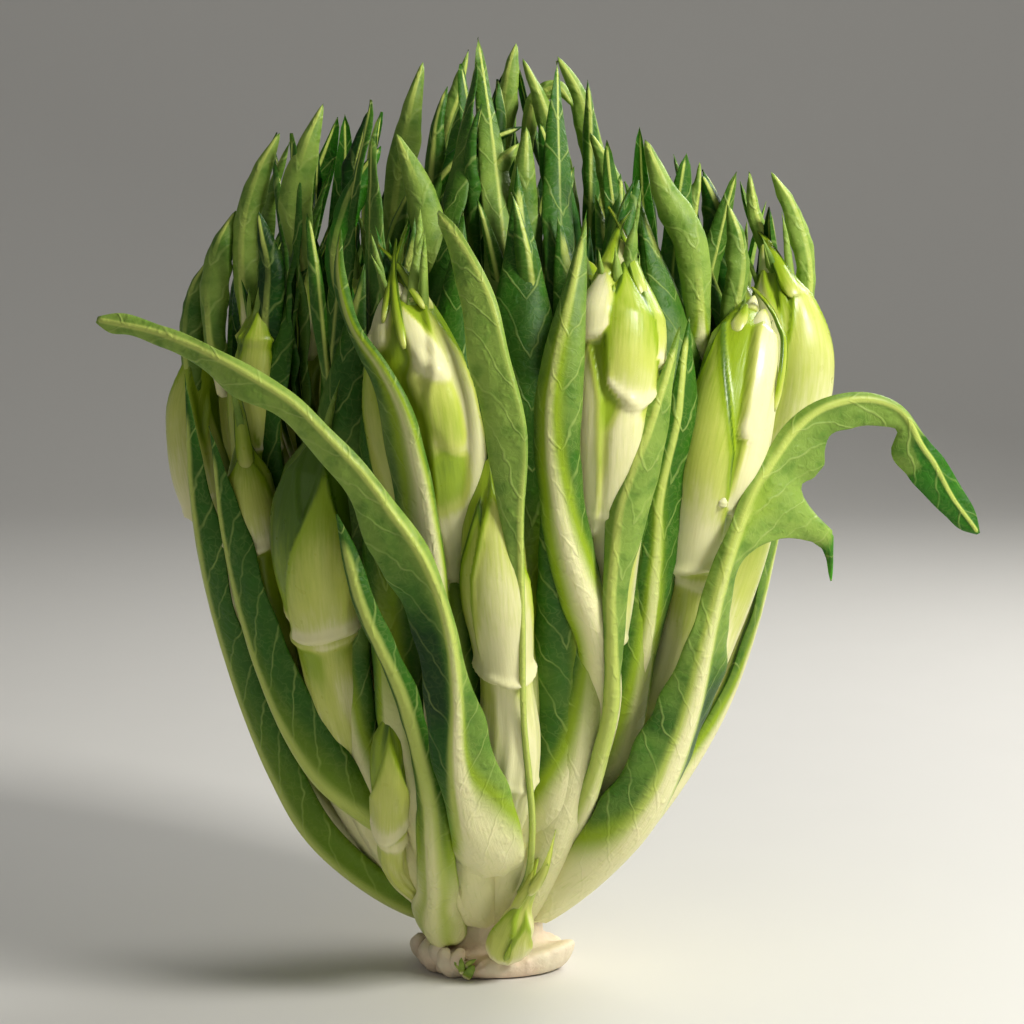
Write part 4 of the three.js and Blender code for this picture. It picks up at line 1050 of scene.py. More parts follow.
frontShoots = {
    "shoot_front_left": {
        "rings": (98, 138), "green": (0, 0, 0.1, 0.4, 0.5), "strands": 9, "strandLength": 34, "seed": 2,
        "close": 0.15,
        "bracts": (
            {"from": 139, "to": 221, "round": (46, 34), "wide": (9.5, 11, 10.5, 8.5, 5),
             "high": (1.5, 2.6, 3.2, 2.6, 1.0), "green": (0.0, 0.0, 0.0, 0.1, 0.25, 0.6), "rims": 0.4,
             "rimHigh": 0.7},
            {"from": 146, "to": 212, "round": (-56, -54), "wide": (9, 11, 9, 6, 3),
             "high": (1.0, 1.8, 1.5, 1.0), "green": (0.2, 0.35, 0.4, 0.5, 0.6)},
            {"from": 154, "to": 184, "round": (14, 20), "wide": (7, 8, 8, 7), "high": (0.2, 0.4, 0.4, 0.2),
             "soft": 5, "green": (0.2, 0.6, 0.85, 0.6), "blunt": 0.3},
            {"from": 174, "to": 203, "round": (30, 4), "wide": (3, 5.5, 6.5, 6),
             "high": (1.0, 2.2, 2.8, 2.6), "soft": 1.6, "green": (0.5, 0.5, 0.35, 0.0), "blunt": 0.25},
            {"from": 195, "to": 218, "round": (24, -6), "wide": (4, 5, 4.8, 3.4),
             "high": (1.6, 2.6, 2.4, 1.0), "soft": 1.4, "green": (0.0, 0.0, 0.1, 0.3), "blunt": 0.3},
            {"from": 201, "to": 222, "round": (-46, -38), "wide": (5, 5.6, 5.6, 5),
             "high": (1.0, 2.4, 2.6, 1.6), "soft": 1.5, "green": (0.35, 0.15, 0.0, 0.1), "blunt": 0.25},
        ),
        "buds": (
            {"at": 219, "round": 18, "long": 8, "wide": 3.4, "green": (0.5, 0.2, 0.1, 0.2, 0.5),
             "sunk": 0.5},
            {"at": 221, "round": -8, "long": 6, "wide": 2.3, "green": (0.2, 0.0, 0.0, 0.2), "sunk": 0.5},
            {"at": 217, "round": 48, "long": 9, "wide": 2.6, "green": (0.4, 0.3, 0.2, 0.5, 0.7),
             "sunk": 0.5},
        ),
        "straps": (
            {"from": 204, "to": 222, "round": (-6, -14), "wide": (1.2, 1.4, 1.2, 0.9, 0.6),
             "high": (1, 1, 0.8, 0.5), "green": (0.5, 0.6, 0.7, 0.8), "free": 18, "lift": (2.6, 2.0, 1.4),
             "lean": (0.0, 0.05)},
            {"from": 214, "to": 225, "round": (30, 16), "wide": (1.0, 1.2, 1.0, 0.8, 0.5),
             "high": (0.9, 0.9, 0.7, 0.4), "green": (0.5, 0.6, 0.7, 0.8), "free": 15,
             "lift": (1.6, 1.6, 1.0), "lean": (0.0, -0.1)},
            {"from": 212, "to": 224, "round": (-32, -26), "wide": (1.0, 1.2, 1.0, 0.8, 0.5),
             "high": (0.9, 0.9, 0.7, 0.4), "green": (0.5, 0.6, 0.8, 0.9), "free": 20,
             "lift": (2.0, 1.6, 1.0), "lean": (0.0, 0.05)},
        ),
    },
    "shoot_front_middle": {
        "rings": (74,), "step": 0.8, "green": (0, 0, 0, 0.1, 0.4), "ribHigh": 0.3, "strands": 0, "seed": 5,
        "bracts": (
            {"from": 107, "to": 172, "round": (18, 4), "wide": (9, 9.5, 9, 7, 3),
             "high": (1.4, 2.2, 2.2, 1.6, 1), "green": (0.0, 0.05, 0.2, 0.3, 0.6), "rims": 0.5,
             "rimHigh": 0.8, "blunt": 0.5, "collar": 1.3},
            {"from": 108, "to": 165, "round": (-42, -24), "wide": (6, 7, 7, 4), "high": (1.0, 1.4, 1.4, 1),
             "rims": 0.7, "green": (0.0, 0.2, 0.4, 0.6), "blunt": 0.5, "collar": 1.1},
        ),
    },
    "shoot_front_low": {
        "rings": (52,), "green": (0, 0, 0.05, 0.15, 0.4), "ribHigh": 0.08, "strands": 0, "seed": 7,
        "around": 64, "steps": 120,
        "bracts": (
            {"from": 55, "to": 130, "round": (15, 10), "wide": (7, 8, 8, 6, 3),
             "high": (1.0, 1.5, 1.5, 1.2, 1), "green": (0.0, 0.0, 0.1, 0.25, 0.6), "rims": 0.25,
             "blunt": 0.5, "collar": 0.3},
        ),
    },
    "shoot_front_right": {
        "rings": (118, 158), "green": (0, 0, 0.05, 0.1, 0.3), "strands": 8, "strandLength": 32, "seed": 11,
        "close": 0.12,
        "bracts": (
            {"from": 188, "to": 234, "round": (26, 16), "wide": (7.5, 8.5, 8, 5, 2.5),
             "high": (0.8, 2.6, 3.2, 2.2, 1), "green": (0.05, 0.3, 0.5, 0.55, 0.7), "rims": 0.5,
             "collar": 0.9, "blunt": 0.45, "bow": 5},
            {"from": 140, "to": 196, "round": (16, 20), "wide": (7, 7.5, 7.5, 7.5),
             "high": (0.6, 1.0, 1.3, 1.4), "soft": 3, "green": (0.0, 0.05, 0.1, 0.0), "blunt": 0.2},
            {"from": 205, "to": 232, "round": (-32, -24), "wide": (5.6, 6.0, 4.8, 2.4),
             "high": (3.0, 4.2, 3.4, 1.8), "green": (0.0, 0.0, 0.05, 0.4), "rims": 0.3, "blunt": 0.55,
             "collar": 0.4, "bow": 1},
            {"from": 150, "to": 206, "round": (-40, -34), "wide": (5, 6, 6, 5),
             "high": (0.4, 0.7, 0.9, 0.8), "green": (0.0, 0.0, 0.1, 0.2), "rims": 0.4, "blunt": 0.3},
            {"from": 200, "to": 234, "round": (72, 58), "wide": (6, 7, 6, 4, 2),
             "high": (1.4, 2.4, 2.2, 1.4, 0.8), "green": (0.1, 0.3, 0.5, 0.7, 0.8), "rims": 0.4},
        ),
        "buds": (
            {"at": 231, "round": 14, "long": 11, "wide": 3.4, "green": (0.3, 0.1, 0.05, 0.2, 0.5)},
            {"at": 232, "round": 52, "long": 9, "wide": 2.6, "green": (0.4, 0.15, 0.1, 0.4, 0.6)},
            {"at": 234, "round": -20, "long": 8, "wide": 2.4, "green": (0.4, 0.2, 0.2, 0.4, 0.6)},
            {"at": 214, "round": -4, "long": 15, "wide": 2.2, "green": (0.4, 0.4, 0.4, 0.6, 0.8),
             "sunk": 0.2},
        ),
        "straps": (
            {"from": 222, "to": 236, "round": (-30, -16), "wide": (2.4, 2.4, 1.6, 1.0, 0.5),
             "high": (1, 1, 0.8, 0.5), "green": (0.4, 0.6, 0.8, 0.9), "free": 12, "lift": (1.5, 1.0, 1.0),
             "lean": (0.0, 0.1)},
            {"from": 218, "to": 236, "round": (48, 36), "wide": (2.4, 2.4, 1.6, 1.0, 0.5),
             "high": (1, 1, 0.8, 0.5), "green": (0.3, 0.6, 0.8, 0.9), "free": 12, "lift": (1.0, 1.0, 1.0),
             "lean": (0.0, -0.1)},
        ),
    },
    "shoot_right": {
        "rings": (92, 134), "green": (0, 0, 0.1, 0.3, 0.5), "strands": 7, "strandLength": 22, "seed": 14,
        "bracts": (
            {"from": 136, "to": 208, "round": (-26, -44), "wide": (11, 12, 12, 10, 6),
             "high": (1.5, 2.8, 2.8, 2.2, 1), "green": (0.0, 0.1, 0.35, 0.5, 0.7), "rims": 0.6,
             "rimHigh": 0.6, "blunt": 0.5, "collar": 1.1},
            {"from": 156, "to": 210, "round": (62, 54), "wide": (8, 9, 8, 6, 3),
             "high": (1.6, 2.6, 2.4, 1.6, 0.8), "green": (0.0, 0.0, 0.05, 0.25, 0.6), "rims": 0.5,
             "blunt": 0.4},
            {"from": 176, "to": 212, "round": (36, 34), "wide": (4.2, 4.8, 5, 4),
             "high": (2.4, 2.6, 3.0, 2.8), "green": (0.05, 0.0, 0.05, 0.2), "rims": 0.3, "blunt": 0.2,
             "collar": 0.3},
        ),
        "buds": (
            {"at": 208, "round": 36, "long": 11, "wide": 4.0, "green": (0.2, 0.05, 0.0, 0.1, 0.4),
             "sunk": 0.2},
            {"at": 214, "round": 12, "long": 7, "wide": 2.4, "green": (0.3, 0.1, 0.0, 0.2), "sunk": 0.2},
            {"at": 206, "round": -14, "long": 14, "wide": 2.6, "green": (0.3, 0.2, 0.3, 0.6, 0.9),
             "lean": 0.15},
            {"at": 162, "round": 14, "long": 3.4, "wide": 1.5, "green": (0.0, 0.0, 0.0), "sunk": -1.4,
             "peak": 0.4},
        ),
        "straps": (
            {"from": 186, "to": 212, "round": (66, 50), "wide": (1.4, 1.6, 1.2, 0.8),
             "high": (0.9, 0.9, 0.7, 0.4), "green": (0.4, 0.6, 0.9), "free": 12, "lift": (2.5, 4.0, 4.0),
             "lean": (0.0, -1.2)},
        ),
    },
    "shoot_far_right": {
        "rings": (95, 150), "green": (0, 0.05, 0.1, 0.25, 0.45), "strands": 7, "strandLength": 32,
        "seed": 18,
        "bracts": (
            {"from": 156, "to": 230, "round": (44, 36), "wide": (13, 14, 13, 9, 4),
             "high": (1.4, 2.8, 3.2, 2.4, 1.2), "green": (0.0, 0.1, 0.2, 0.4, 0.75), "rims": 0.5,
             "rimHigh": 0.7, "blunt": 0.4, "collar": 0.3},
            {"from": 168, "to": 232, "round": (-42, -38), "wide": (9, 10, 9, 6, 3),
             "high": (1.4, 2.8, 3.0, 2.0, 1), "green": (0.1, 0.05, 0.0, 0.1, 0.4), "rims": 0.5,
             "blunt": 0.35, "collar": 0.3},
            {"from": 176, "to": 226, "round": (2, 2), "wide": (4, 5, 4.5, 3, 2),
             "high": (1.0, 1.6, 1.6, 1, 0.6), "green": (0.3, 0.45, 0.5, 0.7), "rims": 0.4, "collar": 0.0},
        ),
        "buds": (
            {"at": 227, "round": -30, "long": 13, "wide": 3.4, "green": (0.3, 0.05, 0.0, 0.1, 0.4)},
            {"at": 230, "round": 8, "long": 10, "wide": 2.6, "green": (0.4, 0.3, 0.3, 0.6, 0.8)},
        ),
        "straps": (
            {"from": 214, "to": 230, "round": (20, 14), "wide": (3.0, 2.6, 1.8, 1.1, 0.5),
             "high": (1.2, 1.2, 0.8, 0.5), "green": (0.4, 0.6, 0.7, 0.9), "free": 14, "lift": (2, 1.5, 1.0),
             "lean": (0.0, -0.1)},
        ),
    },
    "shoot_left_tall": {
        "rings": (118, 205), "step": 1.2, "green": (0.1, 0.2, 0.4, 0.6, 0.5), "seed": 21, "strands": 5,
        "around": 72, "steps": 140,
        "bracts": (
            {"from": 168, "to": 224, "round": (10, 4), "wide": (8, 9, 8, 5, 3),
             "green": (0.3, 0.4, 0.5, 0.6), "blunt": 0.6},
            {"from": 150, "to": 208, "round": (-50, -46), "wide": (8, 9, 7, 4, 2),
             "green": (0.2, 0.4, 0.5, 0.7)},
        ),
    },
    "shoot_left": {
        "rings": (90, 143), "step": 1.1, "green": (0.1, 0.1, 0.2, 0.4, 0.6), "seed": 23, "strands": 2,
        "around": 80, "steps": 160,
        "bracts": (
            {"from": 141, "to": 182, "round": (-8, -4), "wide": (9, 10, 7, 3.5, 2),
             "high": (1.6, 3.0, 2.4, 1.4, 0.8), "green": (0.05, 0.25, 0.45, 0.6, 0.7), "rims": 0.4,
             "blunt": 0.4, "collar": 0.9},
            {"from": 143, "to": 176, "round": (64, 50), "wide": (5, 7, 5, 3), "high": (1.0, 1.8, 1.4, 1),
             "green": (0.1, 0.3, 0.5, 0.7), "rims": 0.4, "collar": 0.7},
        ),
        "straps": (
            {"from": 166, "to": 178, "round": (6, 4), "wide": (2.6, 2.4, 1.8, 1.2, 0.7),
             "high": (1.2, 1.2, 1, 0.6), "green": (0.4, 0.5, 0.6, 0.8), "free": 20, "lift": (1, 1, 1.0),
             "lean": (0.0, 0.0)},
        ),
    },
    "shoot_left_low": {
        "rings": (70, 117), "step": 1.1, "green": (0.05, 0.05, 0.3, 0.6, 0.8), "seed": 26, "strands": 3,
        "bracts": (
            {"from": 117, "to": 176, "round": (6, 12), "wide": (12, 13, 10, 6, 3),
             "high": (1.2, 2.2, 2.0, 1.4, 1), "green": (0.1, 0.35, 0.5, 0.7, 0.9), "rims": 0.3,
             "blunt": 0.5, "collar": 0.8},
            {"from": 121, "to": 178, "round": (-58, -45), "wide": (8, 10, 9, 6, 3),
             "high": (0.6, 1, 0.8, 0.6), "green": (0.5, 0.85, 1.0, 1.1, 1.1), "rims": 0.2, "blunt": 0.4,
             "collar": 0.3},
        ),
    },
    "shoot_base_left": {
        "rings": (52,), "step": 0.8, "green": (0.2, 0.25, 0.3, 0.4, 0.6), "seed": 29, "strands": 0,
        "around": 64, "steps": 120, "widen": 0.95,
        "bracts": (
            {"from": 53, "to": 92, "round": (0, 0), "wide": (8, 8, 6, 4, 2),
             "high": (0.5, 0.8, 0.8, 0.6, 0.5), "green": (0.2, 0.3, 0.35, 0.45, 0.6), "rims": 0.15,
             "blunt": 0.6, "collar": 0.6},
        ),
    },
    "shoot_far_left": {
        "rings": (80, 118), "green": (0.0, 0.05, 0.1, 0.25, 0.4), "seed": 31, "strands": 4, "around": 80,
        "steps": 150,
        "bracts": (
            {"from": 148, "to": 206, "round": (-40, -35), "wide": (9, 10, 8, 5, 3),
             "high": (1.2, 2.4, 2, 1.4, 0.8), "green": (0.05, 0.15, 0.3, 0.5, 0.8), "rims": 0.35,
             "blunt": 0.4},
            {"from": 120, "to": 190, "round": (40, 40), "wide": (9, 10, 8, 5, 3),
             "high": (1.0, 1.8, 1.6, 1.2, 0.8), "green": (0.05, 0.1, 0.2, 0.3, 0.6), "rims": 0.35,
             "blunt": 0.4},
        ),
    },
}


# the bracts of a shoot that has none of its own
spreadLook = {
    "count": 5, "turn": 137,  # how many, and the degrees from one to the next
    "foot": (0.46, 0.09, 0.03),  # shares of the shoot's height: where the first starts, the step and the play
    "top": (0.86, 0.035, 0.99),  # where the first ends, the step and the most
    "wide": (0.85, 1.05, 0.9, 0.5, 0.2), "high": (0.08, 0.16, 0.16, 0.12, 0.08),  # over the bulb's half-width
    "green": (0.1, 0.22, 0.35, 0.5, 0.75),
}


def spreadBracts(spine, seed):
    # bracts a turn and a step of height apart, sized to the bulb and each a little narrower than the last
    rng = np.random.default_rng(seed)
    low, high = spine["centre"][0, 2] / mm, spine["centre"][-1, 2] / mm
    girth = spine["wide"].max() / mm
    first, step, play = spreadLook["foot"]
    firstTop, topStep, most = spreadLook["top"]
    start = rng.uniform(0, 360)
    bracts = []
    for i in range(spreadLook["count"]):
        foot = low + (high - low) * (first + step * i + rng.uniform(-play, play))
        turn = start + spreadLook["turn"] * i
        bracts.append({
            "from": foot, "to": low + (high - low) * min(most, firstTop + topStep * i),
            "round": (turn, turn + rng.uniform(-15, 15)), "blunt": 0.5,
            "wide": np.array(spreadLook["wide"]) * girth * (1 - 0.06 * i),
            "high": np.array(spreadLook["high"]) * girth,
            "green": np.array(spreadLook["green"]) + rng.uniform(-0.05, 0.1),
        })
    return bracts


def buildShoot(node, look):
    # the shoot with its bracts, then what stands on it: that is set on the line narrowed as its head closes
    look = {**shootHabit, **look}
    spine = nodeSpine(node, look["steps"], round=True)
    look["bracts"] = look["bracts"] or spreadBracts(spine, look["seed"])
    skins = [shootSkin(spine, look)]
    closing = np.clip((1 - spine["at"]) / look["close"], 0.02, 1) ** 0.5
    spine.update(wide=spine["wide"] * closing, deep=spine["deep"] * closing)
    skins += [budSkin(spine, bud) for bud in look["buds"]]
    skins += [bractSkin(spine, strap) for strap in look["straps"]]
    skins += strandSkins(spine, look["strands"], look["strandLength"], look["seed"] + 40)
    return buildPiece(plain(node), skins, node)


for node, look in frontShoots.items():
    buildShoot(node, look)
print("front shoots grown:", len(frontShoots))

# the back, inner and heart shoots: joints are ranges of shares of the height
restShoot = {
    "joints": ((0.25, 0.32), (0.48, 0.54)), "strands": 6,
    "green": (0, 0, 0.05, 0.12, 0.2), "play": (-0.05, 0.1),
    "inner": {"widen": 1.1, "around": 48, "steps": 80},
    "back": {"widen": 1.14, "around": 80, "steps": 130},
}


def buildRestShoots():
    # each takes the places of its joints and its tint from its seed, and its bracts are spread round it
    rest = [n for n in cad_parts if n.startswith("shoot_") and n not in frontShoots]
    for count, node in enumerate(rest):
        rng = np.random.default_rng(900 + count)
        low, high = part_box(node)
        tall = (high[2] - low[2]) / mm
        inner = "inner" in node or "heart" in node
        rings = tuple(low[2] / mm + tall * rng.uniform(*share) for share in restShoot["joints"])
        buildShoot(node, {
            **restShoot["inner" if inner else "back"], "rings": rings, "strands": restShoot["strands"],
            "green": np.array(restShoot["green"]) + rng.uniform(*restShoot["play"]), "seed": 60 + count})
    return len(rest)


print("back and inner shoots grown:", buildRestShoots())


# the crown and the sprout at the foot

crownLook = {
    # mm, from the cut's middle out over the lip and up inside the head
    "radius": (0, 12, 19, 22.5, 24, 22.5, 18.5, 16.5, 16.5, 17, 18, 18.5, 17, 12, 4),
    "height": (0, 0, 0, 0.8, 3.5, 6.5, 8, 11, 16, 24, 34, 44, 54, 62, 68),
    "around": 220, "steps": 140,
    "lip": (0.31, 0.085),  # where the lip is on that course, and how long
    # the lip's lifted end: where round it, in radians from +X, how long, and how far out and up in mm
    "tongue": (-0.35, 0.75, 4.0, 4.5),
    "torn": (-2.35, 0.75, 3.2),  # the crumpled part: where, how long, how deep in mm
    "creases": (5.5, 13),  # how many large and small ridges the crumpled part would have all round
    "lobes": 5, "lobeHigh": 1.0,
}


def crownSkin(look):
    # turned: radius and height are smooth courses from the middle of the cut, over the lip and up inside
    # the head. The lip swells in lobes of |sin(lobes a / 2)|^0.5; one end of it is lifted and breaks off
    # short, and one part is crumpled by ridges |sin(creases a + drift)|
    v = np.linspace(0, 1, look["steps"])
    a = np.linspace(-np.pi, np.pi, look["around"], endpoint=False)[None, :]
    radius = np.maximum(evenly(look["radius"], v), 0)[:, None]
    height = np.maximum(evenly(look["height"], v), 0)[:, None]
    v = v[:, None]
    lip = bell((v - look["lip"][0]) / look["lip"][1])
    place, long, outward, upward = look["tongue"]
    d = (a - place + np.pi) % (2 * np.pi) - np.pi
    tongue = np.where(d < 0, bell(d / long), bell(d / 0.16))
    place, long, deep = look["torn"]
    torn = bell((a - place) / long)
    large, small = look["creases"]
    crumple = 0.55 - np.abs(np.sin(large * a + 1.5 * waver(v, 3, 2))) ** 0.6 + 0.5 * (
        0.55 - np.abs(np.sin(small * a + 3 * np.sin(9 * v))) ** 0.7)
    lobed = (np.abs(np.sin(look["lobes"] * a / 2 + 0.4)) ** 0.5 - 0.6) * look["lobeHigh"]
    fine = 0.3 * waver(a / 6.28 + 0.1 * v, 15, 31)
    out = radius + lip * (lobed + fine + outward * tongue + deep * torn * crumple)
    out = out * (1 + 0.025 * np.cos(3 * a + 1))
    neck = blend(0.45, 0.52, v) * (1 - blend(0.7, 0.9, v))
    out = out + neck * (0.35 * waver(v * 1.3 + a / 6.28, 21, 3) + 0.3 * np.sin(14 * a + 2 * v))
    rise = 0.8 * lobed + upward * tongue + 0.9 * deep * torn * crumple + 0.4 * fine
    up = height + lip * blend(0.2, 0.3, v) * rise
    points = np.stack([out * np.cos(a), out * np.sin(a), up], axis=-1) * mm
    hollow = np.clip(torn * (0.25 - crumple) * lip * 1.6, 0, 1)
    hollow = hollow + 0.5 * bell((v - 0.45) / 0.035) * (0.5 + torn)
    return {
        "points": points[:, ::-1], "material": "crown", "rib": np.clip(hollow, 0, 1.2)[:, ::-1],
        "pale": (blend(0.42, 0.6, v) * 0.8 + 0.4 * lip * tongue)[:, ::-1],
        "green": (0.9 * bell((d - 0.1) / 0.05) * bell((v - 0.3) / 0.05))[:, ::-1],
    }


# dry leaf bases curling off the torn side: degrees from +X, then height, length, half-width and curl in mm
scraps = (
    (-152, 2.0, 9, 3.6, 3.0), (-138, 3.5, 8, 3.0, 4.0), (-124, 1.5, 8, 3.4, 2.5), (-112, 3.0, 6.5, 2.6, 3.0),
    (-166, 3.0, 8, 3.0, 2.0),
)


def scrapSkins():
    # each is a short strip from inside the lip, out and up, then curled back towards the neck by curl * t^2
    skins = []
    for count, (angle, height, long, wide, curl) in enumerate(scraps):
        turn = np.radians(angle)
        way = np.array([np.cos(turn), np.sin(turn), 0])
        t = np.linspace(0, 1, 6)[:, None]
        points = way * (19 + 6.5 * np.sin(t * 2.2) - curl * t ** 2) + [0, 0, 1] * (height + long * t ** 1.3)
        points = points + np.array([-way[1], way[0], 0]) * 2.0 * np.sin(3 * t + count)
        line = pathSpine(points * mm, way, np.array([1, 1, 0.9, 0.5]) * wide * mm, 22)
        skins.append(leafSkin(line, {
            "tone": 0.0, "thick": (1.4, 1.0, 0.6), "rib": (0.3, 0.3), "ribHigh": (0, 0),
            "cup": (0.8, 1.4, 1.6),
            "wave": (0.4, 0.9, 1.0), "ruffles": 3, "uneven": 0.3, "white": 0.4, "bleach": 0.3, "across": 8,
            "tipLength": 0.3, "tipShape": 0.5, "seed": 90 + count}, leafHabit, "crown"))
    return skins


# small green points in the crown's folds: foot, way, length and half-width in mm
crownPoints = (
    ((-8.0, -22.5, 0.8), (0.35, -0.3, 0.8), 5.5, 1.9), ((-9.0, -22.8, 2.2), (-0.2, -0.2, 1.0), 6.0, 1.3),
    ((-9.5, -22.5, 4.0), (-1.0, -0.2, 0.8), 4.0, 0.9), ((-8.2, -22.5, 4.5), (0.8, -0.2, 0.8), 4.0, 0.9),
)


def pointSkins():
    # each is a short pointed leaf along a line that curls a little towards +X
    skins = []
    for count, (foot, way, long, wide) in enumerate(crownPoints):
        part = np.linspace(0, 1, 5)[:, None]
        points = (np.array(foot) + unit(np.array(way)) * part * long + [0.8, 0, 0] * part ** 2) * mm
        line = pathSpine(points, (0, -1, 0.1), np.array([0.7, 1, 0.8, 0.4]) * wide * mm, 14)
        leaf = {"tone": 0.9, "thick": (0.9, 0.6, 0.4), "white": 0.15, "seed": 70 + count}
        skins.append(leafSkin(line, leaf, strandHabit))
    return skins


def buildCrown():
    # the stump with its scraps and points; what would reach below the cut is laid on it
    skins = [crownSkin(crownLook), *scrapSkins(), *pointSkins()]
    for skin in skins:
        skin["points"][..., 2] = np.maximum(skin["points"][..., 2], 0)
    return buildPiece("crownStump", skins, "crown")


buildCrown()

sproutLook = {
    "half": (4.2, 6.0, 6.3, 6.0, 5.2, 3.2, 2.1, 1.8, 1.5, 1.2, 0.7),  # half-width from foot to tip, mm
    "body": {"rings": (), "widen": 1.0, "around": 64, "steps": 90, "ribHigh": 0.08, "seed": 77,
             "green": (0.1, 0.15, 0.25, 0.25, 0.15, 0.1)},
    "bracts": (
        {"from": 7, "to": 34, "round": (-38, -20), "wide": (5, 6, 4.5, 2.4, 1),
         "high": (0.4, 0.9, 0.7, 0.3, 0.2), "green": (0.15, 0.35, 0.45, 0.55, 0.6), "rims": 0.3,
         "blunt": 0.4, "collar": 0.1, "edge": 0.3},
        {"from": 8, "to": 30, "round": (42, 30), "wide": (4, 5, 3.6, 2.0, 1),
         "high": (0.4, 0.8, 0.6, 0.3, 0.2), "green": (0.05, 0.15, 0.3, 0.5, 0.6), "rims": 0.3,
         "blunt": 0.4, "collar": 0.1, "edge": 0.3},
    ),
    "straps": (
        {"from": 27, "to": 34, "round": (-50, -40), "wide": (1.3, 1.5, 1.2, 0.9, 0.6, 0.3),
         "high": (0.7, 0.7, 0.5, 0.3), "green": (0.35, 0.4, 0.45), "free": 17, "lean": (-0.5, -0.35),
         "rims": 0.15},
        {"from": 34, "to": 42, "round": (12, 6), "wide": (1.3, 1.4, 1.2, 0.9, 0.6, 0.3),
         "high": (0.7, 0.7, 0.5, 0.3), "green": (0.3, 0.35, 0.4), "free": 15, "lean": (-0.5, 0.0),
         "rims": 0.15},
        {"from": 12, "to": 18, "round": (4, 4), "wide": (0.5, 0.9, 0.8, 0.5, 0.3), "high": (0.6, 0.8, 0.6),
         "free": 3, "green": (0.6, 0.6, 0.6), "rims": 0.2, "lift": (0.6, 0.8, 0.4)},
    ),
}


def buildSprout():
    # a shoot whose half-width is the given one and whose depth keeps the solid's share of it
    spine = nodeSpine("basal_sprout", sproutLook["body"]["steps"], round=True)
    half = evenly(sproutLook["half"], spine["at"]) * mm
    spine["deep"] = spine["deep"] * half / spine["wide"]
    spine["wide"] = half
    body = {**shootHabit, **sproutLook["body"], "bracts": sproutLook["bracts"]}
    skins = [shootSkin(spine, body)] + [bractSkin(spine, strap) for strap in sproutLook["straps"]]
    return buildPiece("basalSprout", skins, "basal_sprout")


buildSprout()
print("crown and sprout made")


# small leaves that fill the head between the named ones

fillLook = {
    "count": 46, "long": (80, 125), "wide": (2.4, 4.6),  # mm
    "dome": 0.0046,  # how fast the tips' height falls with the square of their distance from the axis, per mm
    "share": (0.1, 0.95),  # of the head's radius at their tips
    "frontDraw": 0.14,  # how much nearer the axis the front ones stand
    "inward": 14,  # mm that the middle leaves' tips lean in by
    "drop": (6, 44),  # mm that a tip may lie under the dome
    "turn": 2.399963,  # radians from one leaf to the next
    "radius": 90, "most": 96,  # mm: the head's radius, and the farthest that a leaf may stand
    "shape": (0.3, 0.45, 0.75, 1.0, 0.95),  # half-width from foot to tip
    "pieces": 4,
}


def buildFillers(look):
    # feet stand on a spiral inside the head; tips lie under the dome headTop - dome * r^2, less a random
    # drop. Each runs straight from foot to tip, plus a bow of 4 t (1 - t) and a hook of t^3 to one side
    rng = np.random.default_rng(7)
    groups = [[] for _ in range(look["pieces"])]
    for i in range(look["count"]):
        turn = look["turn"] * i + rng.uniform(-0.2, 0.2)
        share = np.sqrt(mixed(look["share"][0] ** 2, look["share"][1] ** 2, (i + 0.5) / look["count"]))
        radius = share * look["radius"]
        drop = mixed(*look["drop"], rng.uniform(0, 1) ** 1.2)
        tipUp = headTop / mm - 2 - look["dome"] * radius ** 2 - drop
        long = rng.uniform(*look["long"])
        way = np.array([np.cos(turn), np.sin(turn), 0])
        side = np.array([-way[1], way[0], 0])
        radius = radius * (1 - look["frontDraw"] * max(0, -way[1]))
        part = np.linspace(0, 1, 8)[:, None]
        bow = rng.uniform(0.02, 0.09) * long
        foot = way * radius * rng.uniform(0.78, 0.9) + [0, 0, tipUp - long]
        lean = look["inward"] * (1 - share) * rng.uniform(0.2, 1.0)
        tip = way * (radius - lean) + side * rng.uniform(-9, 9) + [0, 0, tipUp]
        points = mixed(foot, tip, part) + (way * bow + side * rng.uniform(-3, 3)) * 4 * part * (1 - part)
        points = points + (side * rng.uniform(-17, 17) + way * rng.uniform(-8, 8)) * part ** 3
        points = points + side * rng.uniform(-3, 3) * np.sin(2 * np.pi * part + rng.uniform(0, 6))
        away = np.linalg.norm(points[:, :2], axis=1, keepdims=True)
        points[:, :2] *= np.minimum(1, look["most"] / np.maximum(away, 1))
        width = rng.uniform(*look["wide"])
        out = way + side * rng.uniform(-1.1, 1.1)
        line = pathSpine(points * mm, out, np.array(look["shape"]) * width * mm, 30)
        leaf = {
            "tone": rng.uniform(-0.1, 0.5), "rib": (1.0, 0.7, 0.5, 0.4), "ribHigh": (0.6, 0.5, 0.3),
            "across": 8, "thick": (1, 0.5, 0.35), "cup": (1.1, rng.uniform(0.25, 1.0), 0.4), "white": 0.1,
            "wave": (0, 0.9, 1.5, 1.0), "ruffles": rng.uniform(2, 5),
            "twist": (0, rng.uniform(-30, 30), rng.uniform(-80, 80)), "aside": (0, rng.uniform(-0.5, 0.5)),
            "tipLength": rng.uniform(0.2, 0.36), "tipShape": rng.uniform(0.5, 0.7), "pucker": 0.15,
            "uneven": 0.15, "seed": int(rng.integers(9999)),
        }
        groups[i % look["pieces"]].append(leafSkin(line, leaf, strandHabit))
    for count, skins in enumerate(groups):
        buildPiece(f"headLeaves{count + 1}", skins, None)
    return look["count"]


print("small head leaves grown:", buildFillers(fillLook))

